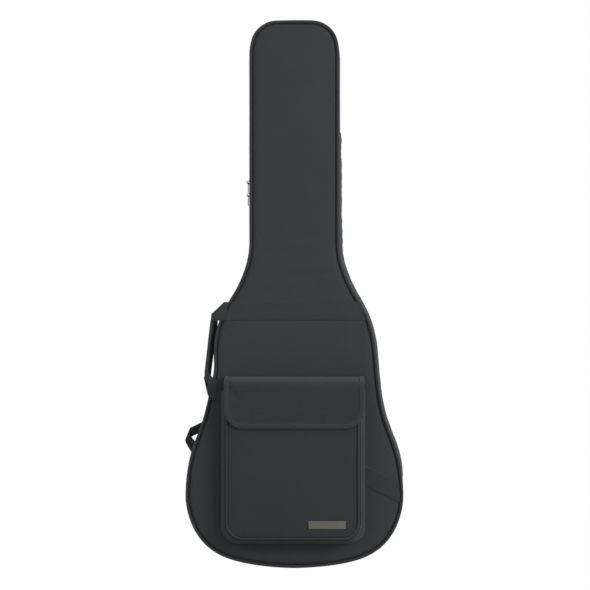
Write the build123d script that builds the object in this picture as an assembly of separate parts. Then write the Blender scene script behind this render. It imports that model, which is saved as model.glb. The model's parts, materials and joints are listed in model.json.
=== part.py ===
"""Padded gig bag for a full-size acoustic guitar, modelled piece by piece in millimetres.

The bag stands upright in its own frame: +Z runs along the neck, the front panel with the
pocket faces -Y, and the shoulder straps are on the +Y side. The shell (back panel and deep
rear side wall) and the lid (front panel and shallow front side wall) are two padded trays
that meet at the zip line. Every padded wall is an outer cover, a foam sheet and a lining.
"""

import os
from functools import lru_cache
from math import atan2, cos, degrees, hypot, radians, sin, sqrt, tan

from build123d import *

os.makedirs("parts", exist_ok=True)

# ---- Outline of the bag, seen from the front --------------------------------------------
piping_size = 6.0  # diameter of the cord sewn into both rims
piping_proud = 1.5  # how far the cord stands out past the side wall
lower_bout_half = 216.5  # half width at the widest place
lower_bout_height = 150.0
waist_half = 169.0
waist_height = 375.0
waist_heading = 95.0  # direction of the edge there, degrees from +X
shoulder_half = 123.5
shoulder_height = 553.0
shoulder_heading = 121.0
neck_half = 90.0
neck_foot_rise = 107.0  # from the shoulder up to the straight neck
collar_drop = 72.0  # from the top of the bag down to the end of the straight neck
crown_half = 70.0
crown_drop = 15.0
crown_heading = 138.0
bag_length = 1112.0

# ---- Padded walls -----------------------------------------------------------------------
bag_depth = 120.0  # between the outer faces of the front and the back panel
lid_depth = 42.0  # from the front face to the zip line
cover = 1.0  # woven outer fabric
foam = 10.0  # closed-cell foam sheet
lining = 1.0
panel_inset = piping_size - piping_proud + 0.5  # the panel covers stop inside the cord
cord_rise = 0.5  # how far the cord stands out past the panel's face
cord_sink = piping_size - cord_rise
wall = cover + foam + lining

# ---- Zip --------------------------------------------------------------------------------
zip_top_end = 887.0  # height where the zip ends on the hinge side, on the neck
zip_low_end = 183.0  # height where it ends on the lower bout
tape_width = 14.0  # one tape, from the zip line to its sewn edge
tape_free = 8.0  # how much of it is free of foam, so that the sliders can pass
chain_gap = 1.2  # between the two rows of the chain
chain_width = 3.6  # one row
chain_thick = 3.2
chain_rise = 1.3  # how far the chain stands out of the tape
slider_play = 0.4
slider_length = 15.0
slider_width = 11.0
slider_plate = 1.4
bridge_bore = 2.2  # radius of the eye in the slider's bridge
bridge_wall = 1.4
bridge_width = 2.0
upper_slider_height = 783.0
lower_slider_height = 757.0
pull_length = 21.0
pull_width = 7.0
pull_thick = 1.4
pull_pin = 1.2  # radius of the bar that hangs in the bridge

# ---- Hinge side -------------------------------------------------------------------------
slack_height = 9.0  # how far the slack fabric of the hinge side bulges
hinge_lean = 8.2  # degrees that the lid's swing line leans, along the lower bout and the head
hinge_play = 5.0  # between the swing line and the widest places of the outline

# ---- Webbing ----------------------------------------------------------------------------
web_width = 38.0
web_thick = 1.6
web_play = 0.4
upper_band_drop = 33.0  # from the shoulder down to the middle of the band across the bag
cross_band_slope = 27.0  # degrees down to the right
handle_length = 165.0  # between the middles of its sewn ends, along the bag
handle_inset = 1.0  # its upper end is sewn this far inside the bag's edge
handle_low_inset = 7.3  # and the lower end this much further in
band_sag = 2.0  # the slanting band meets the handle this far below its middle
handle_out = 26.0  # reach of the handle past its swing line
grip_turn = 14.0  # the grip stands nearly edge on to the front
corner_fold = 26.0  # height of the slanting folds where the legs turn into the grip
grip_lift = 0.6  # the grip's near edge is this far behind the face of the legs

# ---- Pocket -----------------------------------------------------------------------------
pocket_x = -2.5  # middle of the pocket
pocket_foot = 50.0  # height of its lower edge on the panel
pocket_width = 290.0  # at the panel
pocket_front_width = 266.0
pocket_front_foot = 62.0
pocket_mouth = 359.0
pocket_depth = 38.0
pocket_cloth = 2.0
pocket_face = 4.0  # padded front of the pocket
pocket_radius = 32.0
pocket_cord = 5.0
pocket_cord_rise = 0.75  # how far the cord stands out past the pocket's front
flap_width = 282.0
flap_shift = 3.0  # the flap is sewn on this far beside the middle of the pocket
flap_top = 386.0
flap_drop = 8.0  # fall of the flap from the panel to the pocket's front
flap_foot = 284.0
flap_thick = 3.0
flap_radius = 40.0
binding_width = 10.0
binding_rise = 0.6
hook_shift = -6.0  # from the middle of the flap
hook_width = 145.0
hook_height = 24.0
hook_foot = 295.0
hook_thick = 1.0
label_width = 75.0
label_height = 16.0
label_thick = 0.6
label_side = 26.0  # from the pocket's side and foot to the label
label_foot = 20.0

# ---- Back: bands, rear handle, straps and hanging loop -----------------------------------
rear_handle_inset = 12.0  # its swing line lies this far inside the bag's edge
rear_handle_reach = 40.0
grip_width = 19.0  # webbing folded double
yoke_foot = 628.0
yoke_height = 84.0
yoke_width = 130.0
yoke_thick = 3.0
strap_top_x = 32.0  # from the middle of the bag to the middle of a strap
strap_top = 690.0
strap_foot_x = 78.0
strap_foot_drop = 5.0  # the pads end this far below the middle of the lower band
strap_width = 55.0
strap_thick = 10.0
strap_web_width = 25.0
strap_web_thick = 1.4
anchor_drop = 105.0  # the webbing is sewn into the side seam this far below it
loop_out = 26.0  # how far the slack loop of the left strap stands out past the side
buckle_length = 20.0
buckle_bar = 4.0
buckle_thick = 5.0
buckle_play = 0.4
loop_drop = 127.0  # from the top of the bag down to the foot of the hanging loop
loop_span = 80.0
loop_reach = 22.0
loop_tab = 14.0  # sewn end of the loop

# ---- Places worked out from the dimensions above ----------------------------------------
flap_stack = 2 * hook_thick + web_play + flap_thick + binding_rise
front_face = -(bag_depth + loop_reach - pocket_depth - flap_stack) / 2
rear_face = front_face + bag_depth
zip_line = front_face + lid_depth
pocket_front = front_face - pocket_depth
flap_x = pocket_x + flap_shift
upper_band_height = shoulder_height - upper_band_drop
lower_band_height = upper_band_height - handle_length
strap_foot = lower_band_height - strap_foot_drop
anchor_height = lower_band_height - anchor_drop
far = 2 * bag_length


def export(shape, name):
    """Write one node and print its volume."""
    solids = shape.solids()
    part = solids[0] if len(solids) == 1 else Compound(children=solids)
    export_step(part, f"parts/{name}.step")
    print(f"{name:26s} {len(solids)} solid(s) {shape.volume / 1000:9.2f} cm3")


# ---- Outline: a chain of tangent arcs through a few stations ----------------------------
def arc_joint(start, start_heading, end, end_heading):
    """Point and heading where two arcs meet that leave and arrive with the given headings."""
    a = Vector(cos(radians(start_heading)), sin(radians(start_heading)))
    b = Vector(cos(radians(end_heading)), sin(radians(end_heading)))
    chord = end - start
    bend = 1 - a.dot(b)
    along = chord.dot(a + b)
    if bend < 1e-9:
        reach = chord.dot(chord) / (2 * along)
    else:
        reach = (sqrt(along**2 + 2 * bend * chord.dot(chord)) - along) / (2 * bend)
    middle = (start + end + (a - b) * reach) / 2
    tangent = (end - b * reach) - (start + a * reach)
    return middle, degrees(atan2(tangent.Y, tangent.X))


def outline_nodes():
    """Points and headings around the whole outline, anticlockwise from the bottom centre."""
    stations = [
        (Vector(0, piping_proud), 0.0),
        (Vector(lower_bout_half, lower_bout_height), 90.0),
        (Vector(waist_half, waist_height), waist_heading),
        (Vector(shoulder_half, shoulder_height), shoulder_heading),
        (Vector(neck_half, shoulder_height + neck_foot_rise), 90.0),
        (Vector(neck_half, bag_length - collar_drop), 90.0),
        (Vector(crown_half, bag_length - crown_drop), crown_heading),
        (Vector(0, bag_length - piping_proud), 180.0),
    ]
    right = [stations[0]]
    for (start, leave), (end, arrive) in zip(stations, stations[1:]):
        if abs(start.X - end.X) > 1e-6:
            right.append(arc_joint(start, leave, end, arrive))
        right.append((end, arrive))
    left = [(Vector(-p.X, p.Y), 360.0 - h) for p, h in reversed(right[1:-1])]
    return right + left


NODES = outline_nodes()


@lru_cache(maxsize=None)
def outline_wire(inset):
    """The outline, moved inwards by the inset, in the XY plane."""
    moved = []
    for point, heading in NODES:
        inwards = Vector(-sin(radians(heading)), cos(radians(heading)))
        moved.append((point + inwards * inset, heading))
    edges = []
    for (start, heading), (end, next_heading) in zip(moved, moved[1:] + moved[:1]):
        if abs(heading - next_heading) < 1e-6:
            edges.append(Line(start, end))
        else:
            tangent = Vector(cos(radians(heading)), sin(radians(heading)))
            edges.append(TangentArc(start, end, tangent=tangent))
    return Wire(edges)


@lru_cache(maxsize=None)
def outline_face(inset):
    return Face(outline_wire(inset))


@lru_cache(maxsize=None)
def edge_x(z):
    """Half width of the bag at a height, by cutting the outline."""
    cut = outline_face(0) & (Pos(far / 2, z) * Rectangle(far, 0.02))
    return cut.bounding_box().max.X


def facing(depth):
    """Plane parallel to the panels, seen from the front, at a depth."""
    return Plane.XZ.offset(-depth)


def upright(face, front, rear):
    """Extrude a face drawn in X and Z from the front plane to the rear plane."""
    return extrude(facing(rear) * face, amount=rear - front, dir=(0, -1, 0))


def slab(inset, front, rear):
    return upright(outline_face(inset), front, rear)


def ring(outer, inner, front, rear):
    return upright(outline_face(outer) - outline_face(inner), front, rear)


def swept_ring(section, inset, depth):
    """Sweep a section, drawn as (outwards, back), around the outline at a depth."""
    path = facing(depth) * outline_wire(inset)
    start = Vector(0, depth, piping_proud + inset)
    frame = Plane(origin=start, x_dir=(0, 0, -1), z_dir=(1, 0, 0))
    return sweep(sections=frame * section, path=path)


def box(x0, x1, y0, y1, z0, z1):
    return Pos((x0 + x1) / 2, (y0 + y1) / 2, (z0 + z1) / 2) * Box(x1 - x0, y1 - y0, z1 - z0)


def polygon(points):
    return make_face(Polyline(*points, close=True))


hinge_zone = box(0, far, -far, far, zip_low_end, zip_top_end)


def padded_panel(face, inwards):
    """Cover, foam and lining of a flat panel; inwards is +1 for the front, -1 for the back."""

    def layer(inset, near, deep):
        ends = sorted((face + inwards * near, face + inwards * deep))
        return slab(inset, *ends)

    skin = layer(panel_inset, 0, cover)
    edge = layer(panel_inset, cover, cord_sink)
    core = layer(cover, cord_sink, cover + foam)
    inner = layer(cover + foam, cover + foam, wall)
    return skin, edge + core, inner


def padded_side(front, rear, foam_front, foam_rear, lining_front, lining_rear):
    skin = ring(0, cover, front, rear)
    core = ring(cover, cover + foam, foam_front, foam_rear)
    inner = ring(cover + foam, wall, lining_front, lining_rear)
    return skin, core, inner


def piping(depth):
    cord = Circle(piping_size / 2)
    return swept_ring(cord, piping_size / 2 - piping_proud, depth)


# ---- Shell ------------------------------------------------------------------------------
back_cover, back_foam, back_lining = padded_panel(rear_face, -1)
rear_side_cover, rear_side_foam, rear_side_lining = padded_side(
    zip_line + tape_width,
    rear_face - cord_sink,
    zip_line + tape_free,
    rear_face - cover - foam,
    zip_line + tape_free,
    rear_face - wall,
)
rear_piping = piping(rear_face - cord_sink + piping_size / 2)
rear_piping -= slab(panel_inset, rear_face - cord_sink, rear_face)

# ---- Lid --------------------------------------------------------------------------------
front_cover, front_foam, front_lining = padded_panel(front_face, 1)
front_side_cover, front_side_foam, front_side_lining = padded_side(
    front_face + cord_sink,
    zip_line - tape_width,
    front_face + cover + foam,
    zip_line - tape_free,
    front_face + wall,
    zip_line - tape_free,
)
front_piping = piping(front_face + cord_sink - piping_size / 2)


# ---- Zip: two tapes, two rows of chain --------------------------------------------------
row_start = chain_gap / 2
row_end = row_start + chain_width


def tape(side):
    """Tape on one side of the zip line, +1 for the shell and -1 for the lid."""
    ends = sorted((zip_line + side * row_end, zip_line + side * tape_width))
    return ring(0, cover, *ends) - hinge_zone


def chain_row(side):
    ends = sorted((zip_line + side * row_start, zip_line + side * row_end))
    return ring(-chain_rise, chain_thick - chain_rise, *ends) - hinge_zone


# ---- Hinge side: slack fabric between the two trays -------------------------------------
def slack_fabric():
    """Strip that bulges outwards between its two seams, one cover thick."""

    def edge(inner):
        ends = (-inner, -tape_width), (-inner, tape_width)
        return ThreePointArc(ends[0], (slack_height - inner, 0), ends[1])

    outside, inside = edge(0), edge(cover)
    section = make_face([outside, inside, Line(outside @ 0, inside @ 0),
                         Line(outside @ 1, inside @ 1)])
    return swept_ring(section, 0, zip_line) & hinge_zone


def hinge_line():
    """Two points, in X and Z, of the straight line that the lid swings about."""
    lean = radians(hinge_lean)
    outwards = Vector(cos(lean), sin(lean))
    reach = max((p.dot(outwards) for p, _ in NODES))
    foot = outwards * (reach + hinge_play)
    along = Vector(-sin(lean), cos(lean))
    low = foot + along * ((zip_low_end - foot.Y) / along.Y)
    high = foot + along * ((zip_top_end - foot.Y) / along.Y)
    return (low.X, low.Y), (high.X, high.Y)


# ---- Sliders and pulls ------------------------------------------------------------------
plate_base = chain_rise + slider_play  # outer plate, measured outwards from the side wall
bridge_axis = plate_base + slider_plate + bridge_bore
bar_drop = bridge_bore - pull_pin - slider_play / 2  # the bar rests low in the eye
inner_plate = chain_thick - chain_rise + slider_play


def slider_plan():
    """Plan of a slider plate: (across the zip, along it), wide at the head."""
    half = slider_width / 2
    tail = half * 0.72
    length = slider_length / 2
    body = polygon([(-half, length * 0.2), (-tail, -length), (tail, -length), (half, length * 0.2),
                    (half, length * 0.6), (half * 0.5, length), (-half * 0.5, length),
                    (-half, length * 0.6)])
    return fillet(body.vertices(), 0.8)


def slider(height, head):
    """Zip slider on the left side of the neck; head is +1 with the wedge end up."""
    x = -neck_half
    frame = Plane(origin=(x, zip_line, height), x_dir=(0, 1, 0), z_dir=(-1, 0, 0))
    plan = slider_plan() if head * frame.y_dir.Z > 0 else slider_plan().mirror(Plane.XZ)
    outer = extrude(frame.offset(plate_base) * plan, amount=slider_plate)
    inner = extrude(frame.offset(-inner_plate - slider_plate) * plan, amount=slider_plate)
    post_length = slider_length * 0.25
    post_middle = height + head * slider_length * 0.3
    post_half = chain_gap / 2 - 0.2
    post = box(x - plate_base - 0.2, x + inner_plate + 0.2, zip_line - post_half,
               zip_line + post_half, post_middle - post_length / 2, post_middle + post_length / 2)
    lip_in = row_end + slider_play
    lip_out = slider_width / 2
    lip_half = slider_length * 0.3
    outer_lip = box(x - plate_base - 0.2, x - cover / 2, zip_line + lip_in, zip_line + lip_out,
                    height - lip_half, height + lip_half)
    inner_lip = box(x + cover + slider_play, x + inner_plate + 0.2, zip_line + lip_in,
                    zip_line + lip_out, height - lip_half, height + lip_half)
    outer_lip -= box(x - slider_play, x, -far, far, 0, far)
    centre = Pos(x - bridge_axis, zip_line, height) * Rot(90, 0, 0)
    arch = centre * (Cylinder(bridge_bore + bridge_wall, bridge_width)
                     - Cylinder(bridge_bore, bridge_width))
    feet = box(x - bridge_axis, x - plate_base - 0.2, zip_line - bridge_width / 2,
               zip_line + bridge_width / 2, height - bridge_bore - bridge_wall,
               height + bridge_bore + bridge_wall)
    feet -= centre * Cylinder(bridge_bore, bridge_width)
    return outer + inner + post + outer_lip + inner_lip + arch + feet


def pull(height):
    """Pull tab that hangs from the bridge: a bar, two arms and a tapered tongue."""
    x = -neck_half - bridge_axis
    arm_in = bridge_width / 2 + slider_play
    arm_out = arm_in + 1.2
    arm_end = bridge_bore + bridge_wall + bar_drop + slider_play
    z = height - bar_drop
    bar = Pos(x, zip_line, z) * Rot(90, 0, 0) * Cylinder(pull_pin, 2 * arm_out)
    face = Plane(origin=(x + pull_thick / 2, zip_line, z), x_dir=(0, -1, 0), z_dir=(-1, 0, 0))
    half = pull_width / 2
    plate = polygon([(-arm_out, 0), (arm_out, 0), (arm_out, -arm_end), (half, -arm_end - 3),
                     (half * 0.8, -pull_length), (-half * 0.8, -pull_length),
                     (-half, -arm_end - 3), (-arm_out, -arm_end)])
    window = Pos(0, -arm_end / 2) * Rectangle(2 * arm_in, arm_end + 0.01)
    plate -= window
    eye = Pos(0, -pull_length + 4.5) * Circle(1.4)
    tongue = extrude(face * (plate - eye), amount=pull_thick)
    return bar + tongue


# ---- Webbing bands and the front handle -------------------------------------------------
handle_top_x = handle_inset - edge_x(upper_band_height)
handle_low_x = handle_inset + handle_low_inset - edge_x(lower_band_height)
swing_lean = (handle_top_x - handle_low_x) / handle_length


def swing_x(z):
    """X of the handle's swing line at a height."""
    return handle_low_x + (z - lower_band_height) * swing_lean


band_front = front_face - web_thick
slope = tan(radians(cross_band_slope))
half_cut = web_width / 2 / cos(radians(cross_band_slope))


def band_z(x, side):
    """Height of an edge of the slanting band, side +1 above and -1 below."""
    return lower_band_height - band_sag - (x - handle_low_x) * slope + side * half_cut


swing_depth = front_face - web_play - cord_rise - web_thick / 2
knuckle = web_thick / 2
swing_gap = (knuckle + web_play) * hypot(1, swing_lean)


def right_of_swing():
    """Everything to the right of the swing line, less the play of the knuckle."""
    low, high = 0.0, bag_length
    return polygon([(swing_x(low) + swing_gap, low), (far, low), (far, high),
                    (swing_x(high) + swing_gap, high)])


def upper_band():
    half = web_width / 2
    strip = polygon([(-far, upper_band_height - half), (far, upper_band_height - half),
                     (far, upper_band_height + half), (-far, upper_band_height + half)])
    return upright(strip & outline_face(panel_inset) & right_of_swing(), band_front, front_face)


def cross_band():
    strip = polygon([(-far, band_z(-far, -1)), (far, band_z(far, -1)), (far, band_z(far, 1)),
                     (-far, band_z(-far, 1))])
    return upright(strip & outline_face(panel_inset) & right_of_swing(), band_front, front_face)


def meet_swing(side):
    """Point where an edge of the slanting band crosses the swing line."""
    z = band_z(swing_x(0), side) / (1 + slope * swing_lean)
    return Vector(swing_x(z), z)


def front_handle():
    """Two flat legs that carry on from the bands, and the turned grip between them."""
    half = web_width / 2
    top = upper_band_height + half
    low = upper_band_height - half
    tip_x = handle_top_x - handle_out
    legs_rear = swing_depth + web_thick / 2
    legs_front = legs_rear - web_thick
    upper_leg = polygon([(swing_x(top), top), (handle_top_x - web_thick, top),
                         (tip_x, top - corner_fold), (tip_x, low), (swing_x(low), low)])
    out_x = handle_low_x - handle_out
    corner_x, waist_x = out_x + 2 * web_thick, out_x + 0.4 * handle_out
    shoulder_x, hem_x = corner_x + corner_fold / 3, waist_x + corner_fold / 4
    corner_z = band_z(corner_x, 1) - corner_fold / 3
    above, below = meet_swing(1), meet_swing(-1)
    lower_leg = polygon([above, (shoulder_x, band_z(shoulder_x, 1)), (corner_x, corner_z),
                         (corner_x + corner_fold / 8, corner_z - 0.7 * corner_fold),
                         (waist_x, band_z(waist_x, -1) + corner_fold / 8),
                         (hem_x, band_z(hem_x, -1)), below])
    legs = upright(upper_leg, legs_front, legs_rear) + upright(lower_leg, legs_front, legs_rear)
    turn = radians(grip_turn)
    across = Vector(sin(turn), cos(turn)) * web_width
    thick = Vector(cos(turn), -sin(turn)) * web_thick
    foot_z = corner_z - corner_fold / 4
    start = Vector(corner_x, legs_front + grip_lift)
    grip_face = Pos(0, 0, foot_z) * polygon([start, start + across, start + across + thick,
                                             start + thick])
    rise = top - corner_fold - web_thick - foot_z
    shift = tip_x - start.X
    grip = extrude(grip_face, amount=hypot(shift, rise), dir=(shift, 0, rise))
    handle = legs + grip
    for first, last in ((Vector(swing_x(low), low), Vector(swing_x(top), top)), (below, above)):
        foot = Vector(first.X, swing_depth, first.Y)
        head = Vector(last.X, swing_depth, last.Y)
        along = Plane(origin=foot, z_dir=head - foot)
        handle += extrude(along * Circle(knuckle), amount=(head - foot).length)
    return handle


# ---- Pocket -----------------------------------------------------------------------------
def rounded(width, foot, head, radius, centre=pocket_x):
    face = Pos(centre, (foot + head) / 2) * Rectangle(width, head - foot)
    return fillet(face.vertices(), radius)


def pocket_block(shrink):
    """Solid body of the pocket, its walls leaning in towards the front."""
    base = rounded(pocket_width - 2 * shrink, pocket_foot + shrink,
                   pocket_mouth + pocket_radius + shrink, pocket_radius - shrink)
    front = rounded(pocket_front_width - 2 * shrink, pocket_front_foot + shrink,
                    pocket_mouth + pocket_radius + shrink, pocket_radius - shrink)
    depth = pocket_front + pocket_face
    return loft([facing(front_face) * base, facing(depth) * front])


mouth_cut = box(-far, far, -far, front_face, pocket_mouth, bag_length)


def pocket_walls():
    walls = pocket_block(0) - pocket_block(pocket_cloth) - mouth_cut
    return walls - cross_band() - pocket_piping()


def pocket_plan(shrink):
    plan = rounded(pocket_front_width - 2 * shrink, pocket_front_foot + shrink,
                   pocket_mouth + pocket_radius, pocket_radius - shrink)
    return plan & (Pos(0, pocket_mouth / 2) * Rectangle(far, pocket_mouth))


def pocket_panel():
    core = upright(pocket_plan(pocket_cord / 2), pocket_front, pocket_front + pocket_face)
    core -= pocket_piping()
    return core - pocket_binding()


def pocket_piping():
    """Cord down both sides and along the foot of the pocket's front."""
    half = pocket_front_width / 2
    left, right = pocket_x - half, pocket_x + half
    foot = pocket_front_foot
    path = FilletPolyline((left, pocket_mouth), (left, foot), (right, foot),
                          (right, pocket_mouth), radius=pocket_radius)
    depth = pocket_front + pocket_cord / 2 - pocket_cord_rise
    start = Plane(origin=(left, depth, pocket_mouth), z_dir=(0, 0, -1))
    return sweep(sections=start * Circle(pocket_cord / 2), path=facing(depth) * path)


def pocket_binding():
    half = pocket_front_width / 2 - pocket_cord / 2
    return box(pocket_x - half, pocket_x + half, pocket_front - binding_rise,
               pocket_front + pocket_face + binding_rise, pocket_mouth - binding_width,
               pocket_mouth + binding_rise)


def hook_strip(front, rear):
    middle, half = flap_x + hook_shift, hook_width / 2
    return box(middle - half, middle + half, front, rear, hook_foot, hook_foot + hook_height)


def label():
    """Plain sewn label near the lower right corner of the pocket, with nothing on it."""
    right = pocket_x + pocket_front_width / 2 - label_side
    foot = pocket_front_foot + label_foot
    return box(right - label_width, right, pocket_front - label_thick, pocket_front, foot,
               foot + label_height)


# ---- Flap -------------------------------------------------------------------------------
flap_inner = pocket_front - 2 * hook_thick - web_play
flap_root = flap_thick / 2 + binding_rise  # radius of the rolled hem along the hinge
flap_axis_y = front_face - flap_root - web_play


def flap_sheet(inner_grow, outer_grow):
    """The flap's bent sheet, full width, grown on its inner and outer side."""
    bend = 8.0
    front = flap_inner - flap_thick
    outer = [(flap_axis_y, flap_top + flap_thick / 2 + outer_grow),
             (front - outer_grow, flap_top - flap_drop + flap_thick / 2 + outer_grow),
             (front - outer_grow, flap_foot)]
    inner = [(flap_axis_y, flap_top - flap_thick / 2 - inner_grow),
             (flap_inner + inner_grow, flap_top - flap_drop - flap_thick / 2 - inner_grow),
             (flap_inner + inner_grow, flap_foot)]
    outside = FilletPolyline(*outer, radius=bend)
    inside = FilletPolyline(*inner, radius=bend - flap_thick)
    profile = make_face([outside, Line(outer[2], inner[2]), inside, Line(inner[0], outer[0])])
    sheet = Pos(flap_x - flap_width / 2, 0, 0) * extrude(Plane.YZ * profile, amount=flap_width)
    return sheet


def flap_plan(shrink):
    width = flap_width - 2 * shrink
    foot = flap_foot + shrink
    plan = rounded(width, foot, flap_top + 2 * flap_radius, flap_radius - shrink, flap_x)
    return upright(plan, -far, far)


def flap_panel():
    sheet = flap_sheet(0, 0) & flap_plan(binding_width)
    root = Pos(flap_x, flap_axis_y, flap_top) * Rot(0, 90, 0)
    return sheet + root * Cylinder(flap_root, flap_width - 2 * binding_width)


def flap_binding():
    rim = flap_sheet(binding_rise, binding_rise) & flap_plan(0)
    rim -= flap_plan(binding_width)
    keep = box(-far, far, -far, flap_axis_y - flap_root, 0, far)
    return rim & keep


# ---- Back: bands, rear handle ------------------------------------------------------------
def rear_band(height):
    half = web_width / 2
    strip = Pos(0, height) * Rectangle(far, 2 * half)
    return upright(strip & outline_face(panel_inset), rear_face, rear_face + web_thick)


rear_swing_depth = rear_face + web_thick + web_play + web_thick / 2


def rear_handle():
    """Webbing loop that lies folded over onto the back, its grip sewn double."""
    foot = Vector(rear_handle_inset - edge_x(lower_band_height), lower_band_height)
    head = Vector(rear_handle_inset - edge_x(upper_band_height), upper_band_height)
    along = (head - foot).normalized()
    foot = foot - along * (web_width / 2)
    head = head + along * (web_width / 2)
    length = (head - foot).length
    frame = Plane(origin=(foot.X, rear_swing_depth, foot.Y), x_dir=(along.Y, 0, -along.X),
                  z_dir=(0, -1, 0))
    outer = Pos(rear_handle_reach / 2, length / 2) * Rectangle(rear_handle_reach, length)
    outer = fillet(outer.vertices().sort_by(Axis.X)[-2:], 12)
    window_width = rear_handle_reach - grip_width
    window = Pos(window_width / 2, length / 2) * Rectangle(window_width, length - 2 * web_width)
    loop = extrude(frame.offset(web_thick / 2) * (outer - window), amount=-web_thick)
    grip_length = length - 2 * web_width
    grip = Pos(rear_handle_reach - grip_width / 2, length / 2) * Rectangle(grip_width, grip_length)
    loop += extrude(frame.offset(-web_thick / 2) * grip, amount=-web_thick)
    for start in (0, length - web_width):
        barrel = Plane(origin=frame.from_local_coords((0, start, 0)), z_dir=frame.y_dir)
        loop += extrude(barrel * Circle(knuckle), amount=web_width)
    return loop


# ---- Back: yoke, straps, hanging loop ----------------------------------------------------
def yoke():
    plan = rounded(yoke_width, yoke_foot, yoke_foot + yoke_height, 18.0, 0.0)
    return upright(plan, rear_face, rear_face + yoke_thick)


pad_front = rear_face + yoke_thick
run_front = rear_face + web_thick + 2 * buckle_play + buckle_thick / 4
run_rear = run_front + strap_web_thick


def strap_frame(side):
    """Foot of a strap's middle line and the direction up along it, in X and Z."""
    foot = Vector(side * strap_foot_x, strap_foot)
    return foot, (Vector(side * strap_top_x, strap_top) - foot).normalized()


def strap_pad(side):
    foot, up = strap_frame(side)
    length = (Vector(side * strap_top_x, strap_top) - foot).length
    turn = degrees(atan2(up.Y, up.X)) - 90
    plan = Pos(0, length / 2) * Rectangle(strap_width, length)
    plan = fillet(plan.vertices(), 16)
    return upright(Pos(foot.X, foot.Y) * Rot(0, 0, turn) * plan, pad_front, pad_front + strap_thick)


def web_run(side):
    """Start and end of the straight webbing from the strap's buckle to the side seam."""
    foot, up = strap_frame(side)
    start = foot - up * (buckle_length * 0.6)
    end_z = anchor_height + 1.3 * strap_web_width
    return start, Vector(side * (edge_x(end_z) - 0.7 * strap_web_width), end_z)


def web_edges(side):
    """Start and end of the webbing's run, and half its width as a vector across it."""
    start, end = web_run(side)
    along = (end - start).normalized()
    return start, end, Vector(-along.Y, along.X) * (side * strap_web_width / 2)


def taut_webbing(side):
    """Webbing pulled straight, its end turned down and sewn into the rear seam."""
    start, end, over = web_edges(side)
    run = upright(polygon([start + over, end + over, end - over, start - over]),
                  run_front, run_rear)
    back = (start - end).normalized() * (3 * strap_web_thick)
    hem = upright(polygon([end + over, end - over, end - over + back, end + over + back]),
                  rear_face, run_rear)
    return run + hem


def slack_webbing(side):
    """Webbing that loops out past the side seam and comes back into it from the front."""
    start, end, over = web_edges(side)
    seam = Vector(side * edge_x(anchor_height), anchor_height)
    top = seam + Vector(side * loop_out * 0.7, 1.2 * strap_web_width)
    out = seam + Vector(side * loop_out, 0.2 * strap_web_width)
    knee = seam + Vector(side * loop_out * 0.45, 0.5 * strap_web_width)
    run = upright(polygon([start + over, end + over, top, knee, end - over, start - over]),
                  run_front, run_rear)
    seam_rear = rear_face - cord_sink - strap_web_thick / 10
    seam_front = seam_rear - strap_web_thick
    edge = Vector(side * -2 * strap_web_thick, 0)
    fold = upright(polygon([top, out, out + edge, top + edge]), seam_front, run_rear)
    low = seam + Vector(side * loop_out * 0.4, -0.8 * strap_web_width)
    inside = Vector(side * -wall, 0)
    back = polygon([top, out, low, low + 2 * inside, seam + inside,
                    seam + Vector(side * loop_out / 4, strap_web_width / 4), knee])
    return run + fold + (upright(back, seam_front, seam_rear) - slab(0, -far, far))


def buckle_frame(side, distance):
    """Plane on the front of the webbing run at a distance from its start, Y along the run."""
    start, end = web_run(side)
    along = (end - start).normalized()
    place = start + along * distance
    return Plane(origin=(place.X, (run_front + run_rear) / 2, place.Y),
                 x_dir=(-along.Y, 0, along.X), z_dir=(0, -1, 0))


def buckle(side, distance):
    """Three-bar slider of moulded plastic with the webbing lying in its slot."""
    width = strap_web_width + 2 * buckle_bar
    frame = buckle_frame(side, distance)
    plan = fillet(Rectangle(width, buckle_length).vertices(), 3)
    body = extrude(frame.offset(-buckle_thick / 2) * plan, amount=buckle_thick)
    slot = Box(strap_web_width + 2 * buckle_play, 2 * buckle_length,
               strap_web_thick + 2 * buckle_play)
    body -= frame.location * slot
    gap = (buckle_length - 3 * buckle_bar) / 2
    for step in (-1, 1):
        window = Pos(0, step * (gap + buckle_bar) / 2) * Rectangle(strap_web_width, gap)
        body -= extrude(frame * window, amount=-buckle_thick)
    return body


def strap_lock(side):
    """Moulded frame that joins the pad to its webbing."""
    foot, up = strap_frame(side)
    turn = degrees(atan2(up.Y, up.X)) - 90
    width = strap_web_width + 2 * buckle_bar
    plan = Pos(0, -buckle_length / 2) * Rectangle(width, buckle_length)
    plan = fillet(plan.vertices(), 3)
    slot = Pos(0, -buckle_length * 0.72) * Rectangle(strap_web_width, buckle_bar)
    plate = Pos(foot.X, foot.Y) * Rot(0, 0, turn) * (plan - slot)
    return upright(plate, run_rear, run_rear + buckle_thick) - strap_pad(side)


def hang_loop():
    """Webbing arch that the bag hangs from, sewn down at both ends."""
    half = loop_span / 2
    reach, middle = rear_face + loop_reach, bag_length - loop_drop + half
    tab, thick = loop_tab, web_thick

    def arch(inset):
        bow = ThreePointArc((rear_face + thick, middle - half + inset), (reach - inset, middle),
                            (rear_face + thick, middle + half - inset))
        return make_face([bow, Line(bow @ 1, bow @ 0)])

    feet = polygon([(rear_face, middle - half - tab), (rear_face + thick, middle - half - tab),
                    (rear_face + thick, middle + half + tab), (rear_face, middle + half + tab)])
    profile = arch(0) - arch(thick) + feet
    width = strap_web_width
    return extrude(Plane.YZ.offset(-width / 2) * profile, amount=width)


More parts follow.
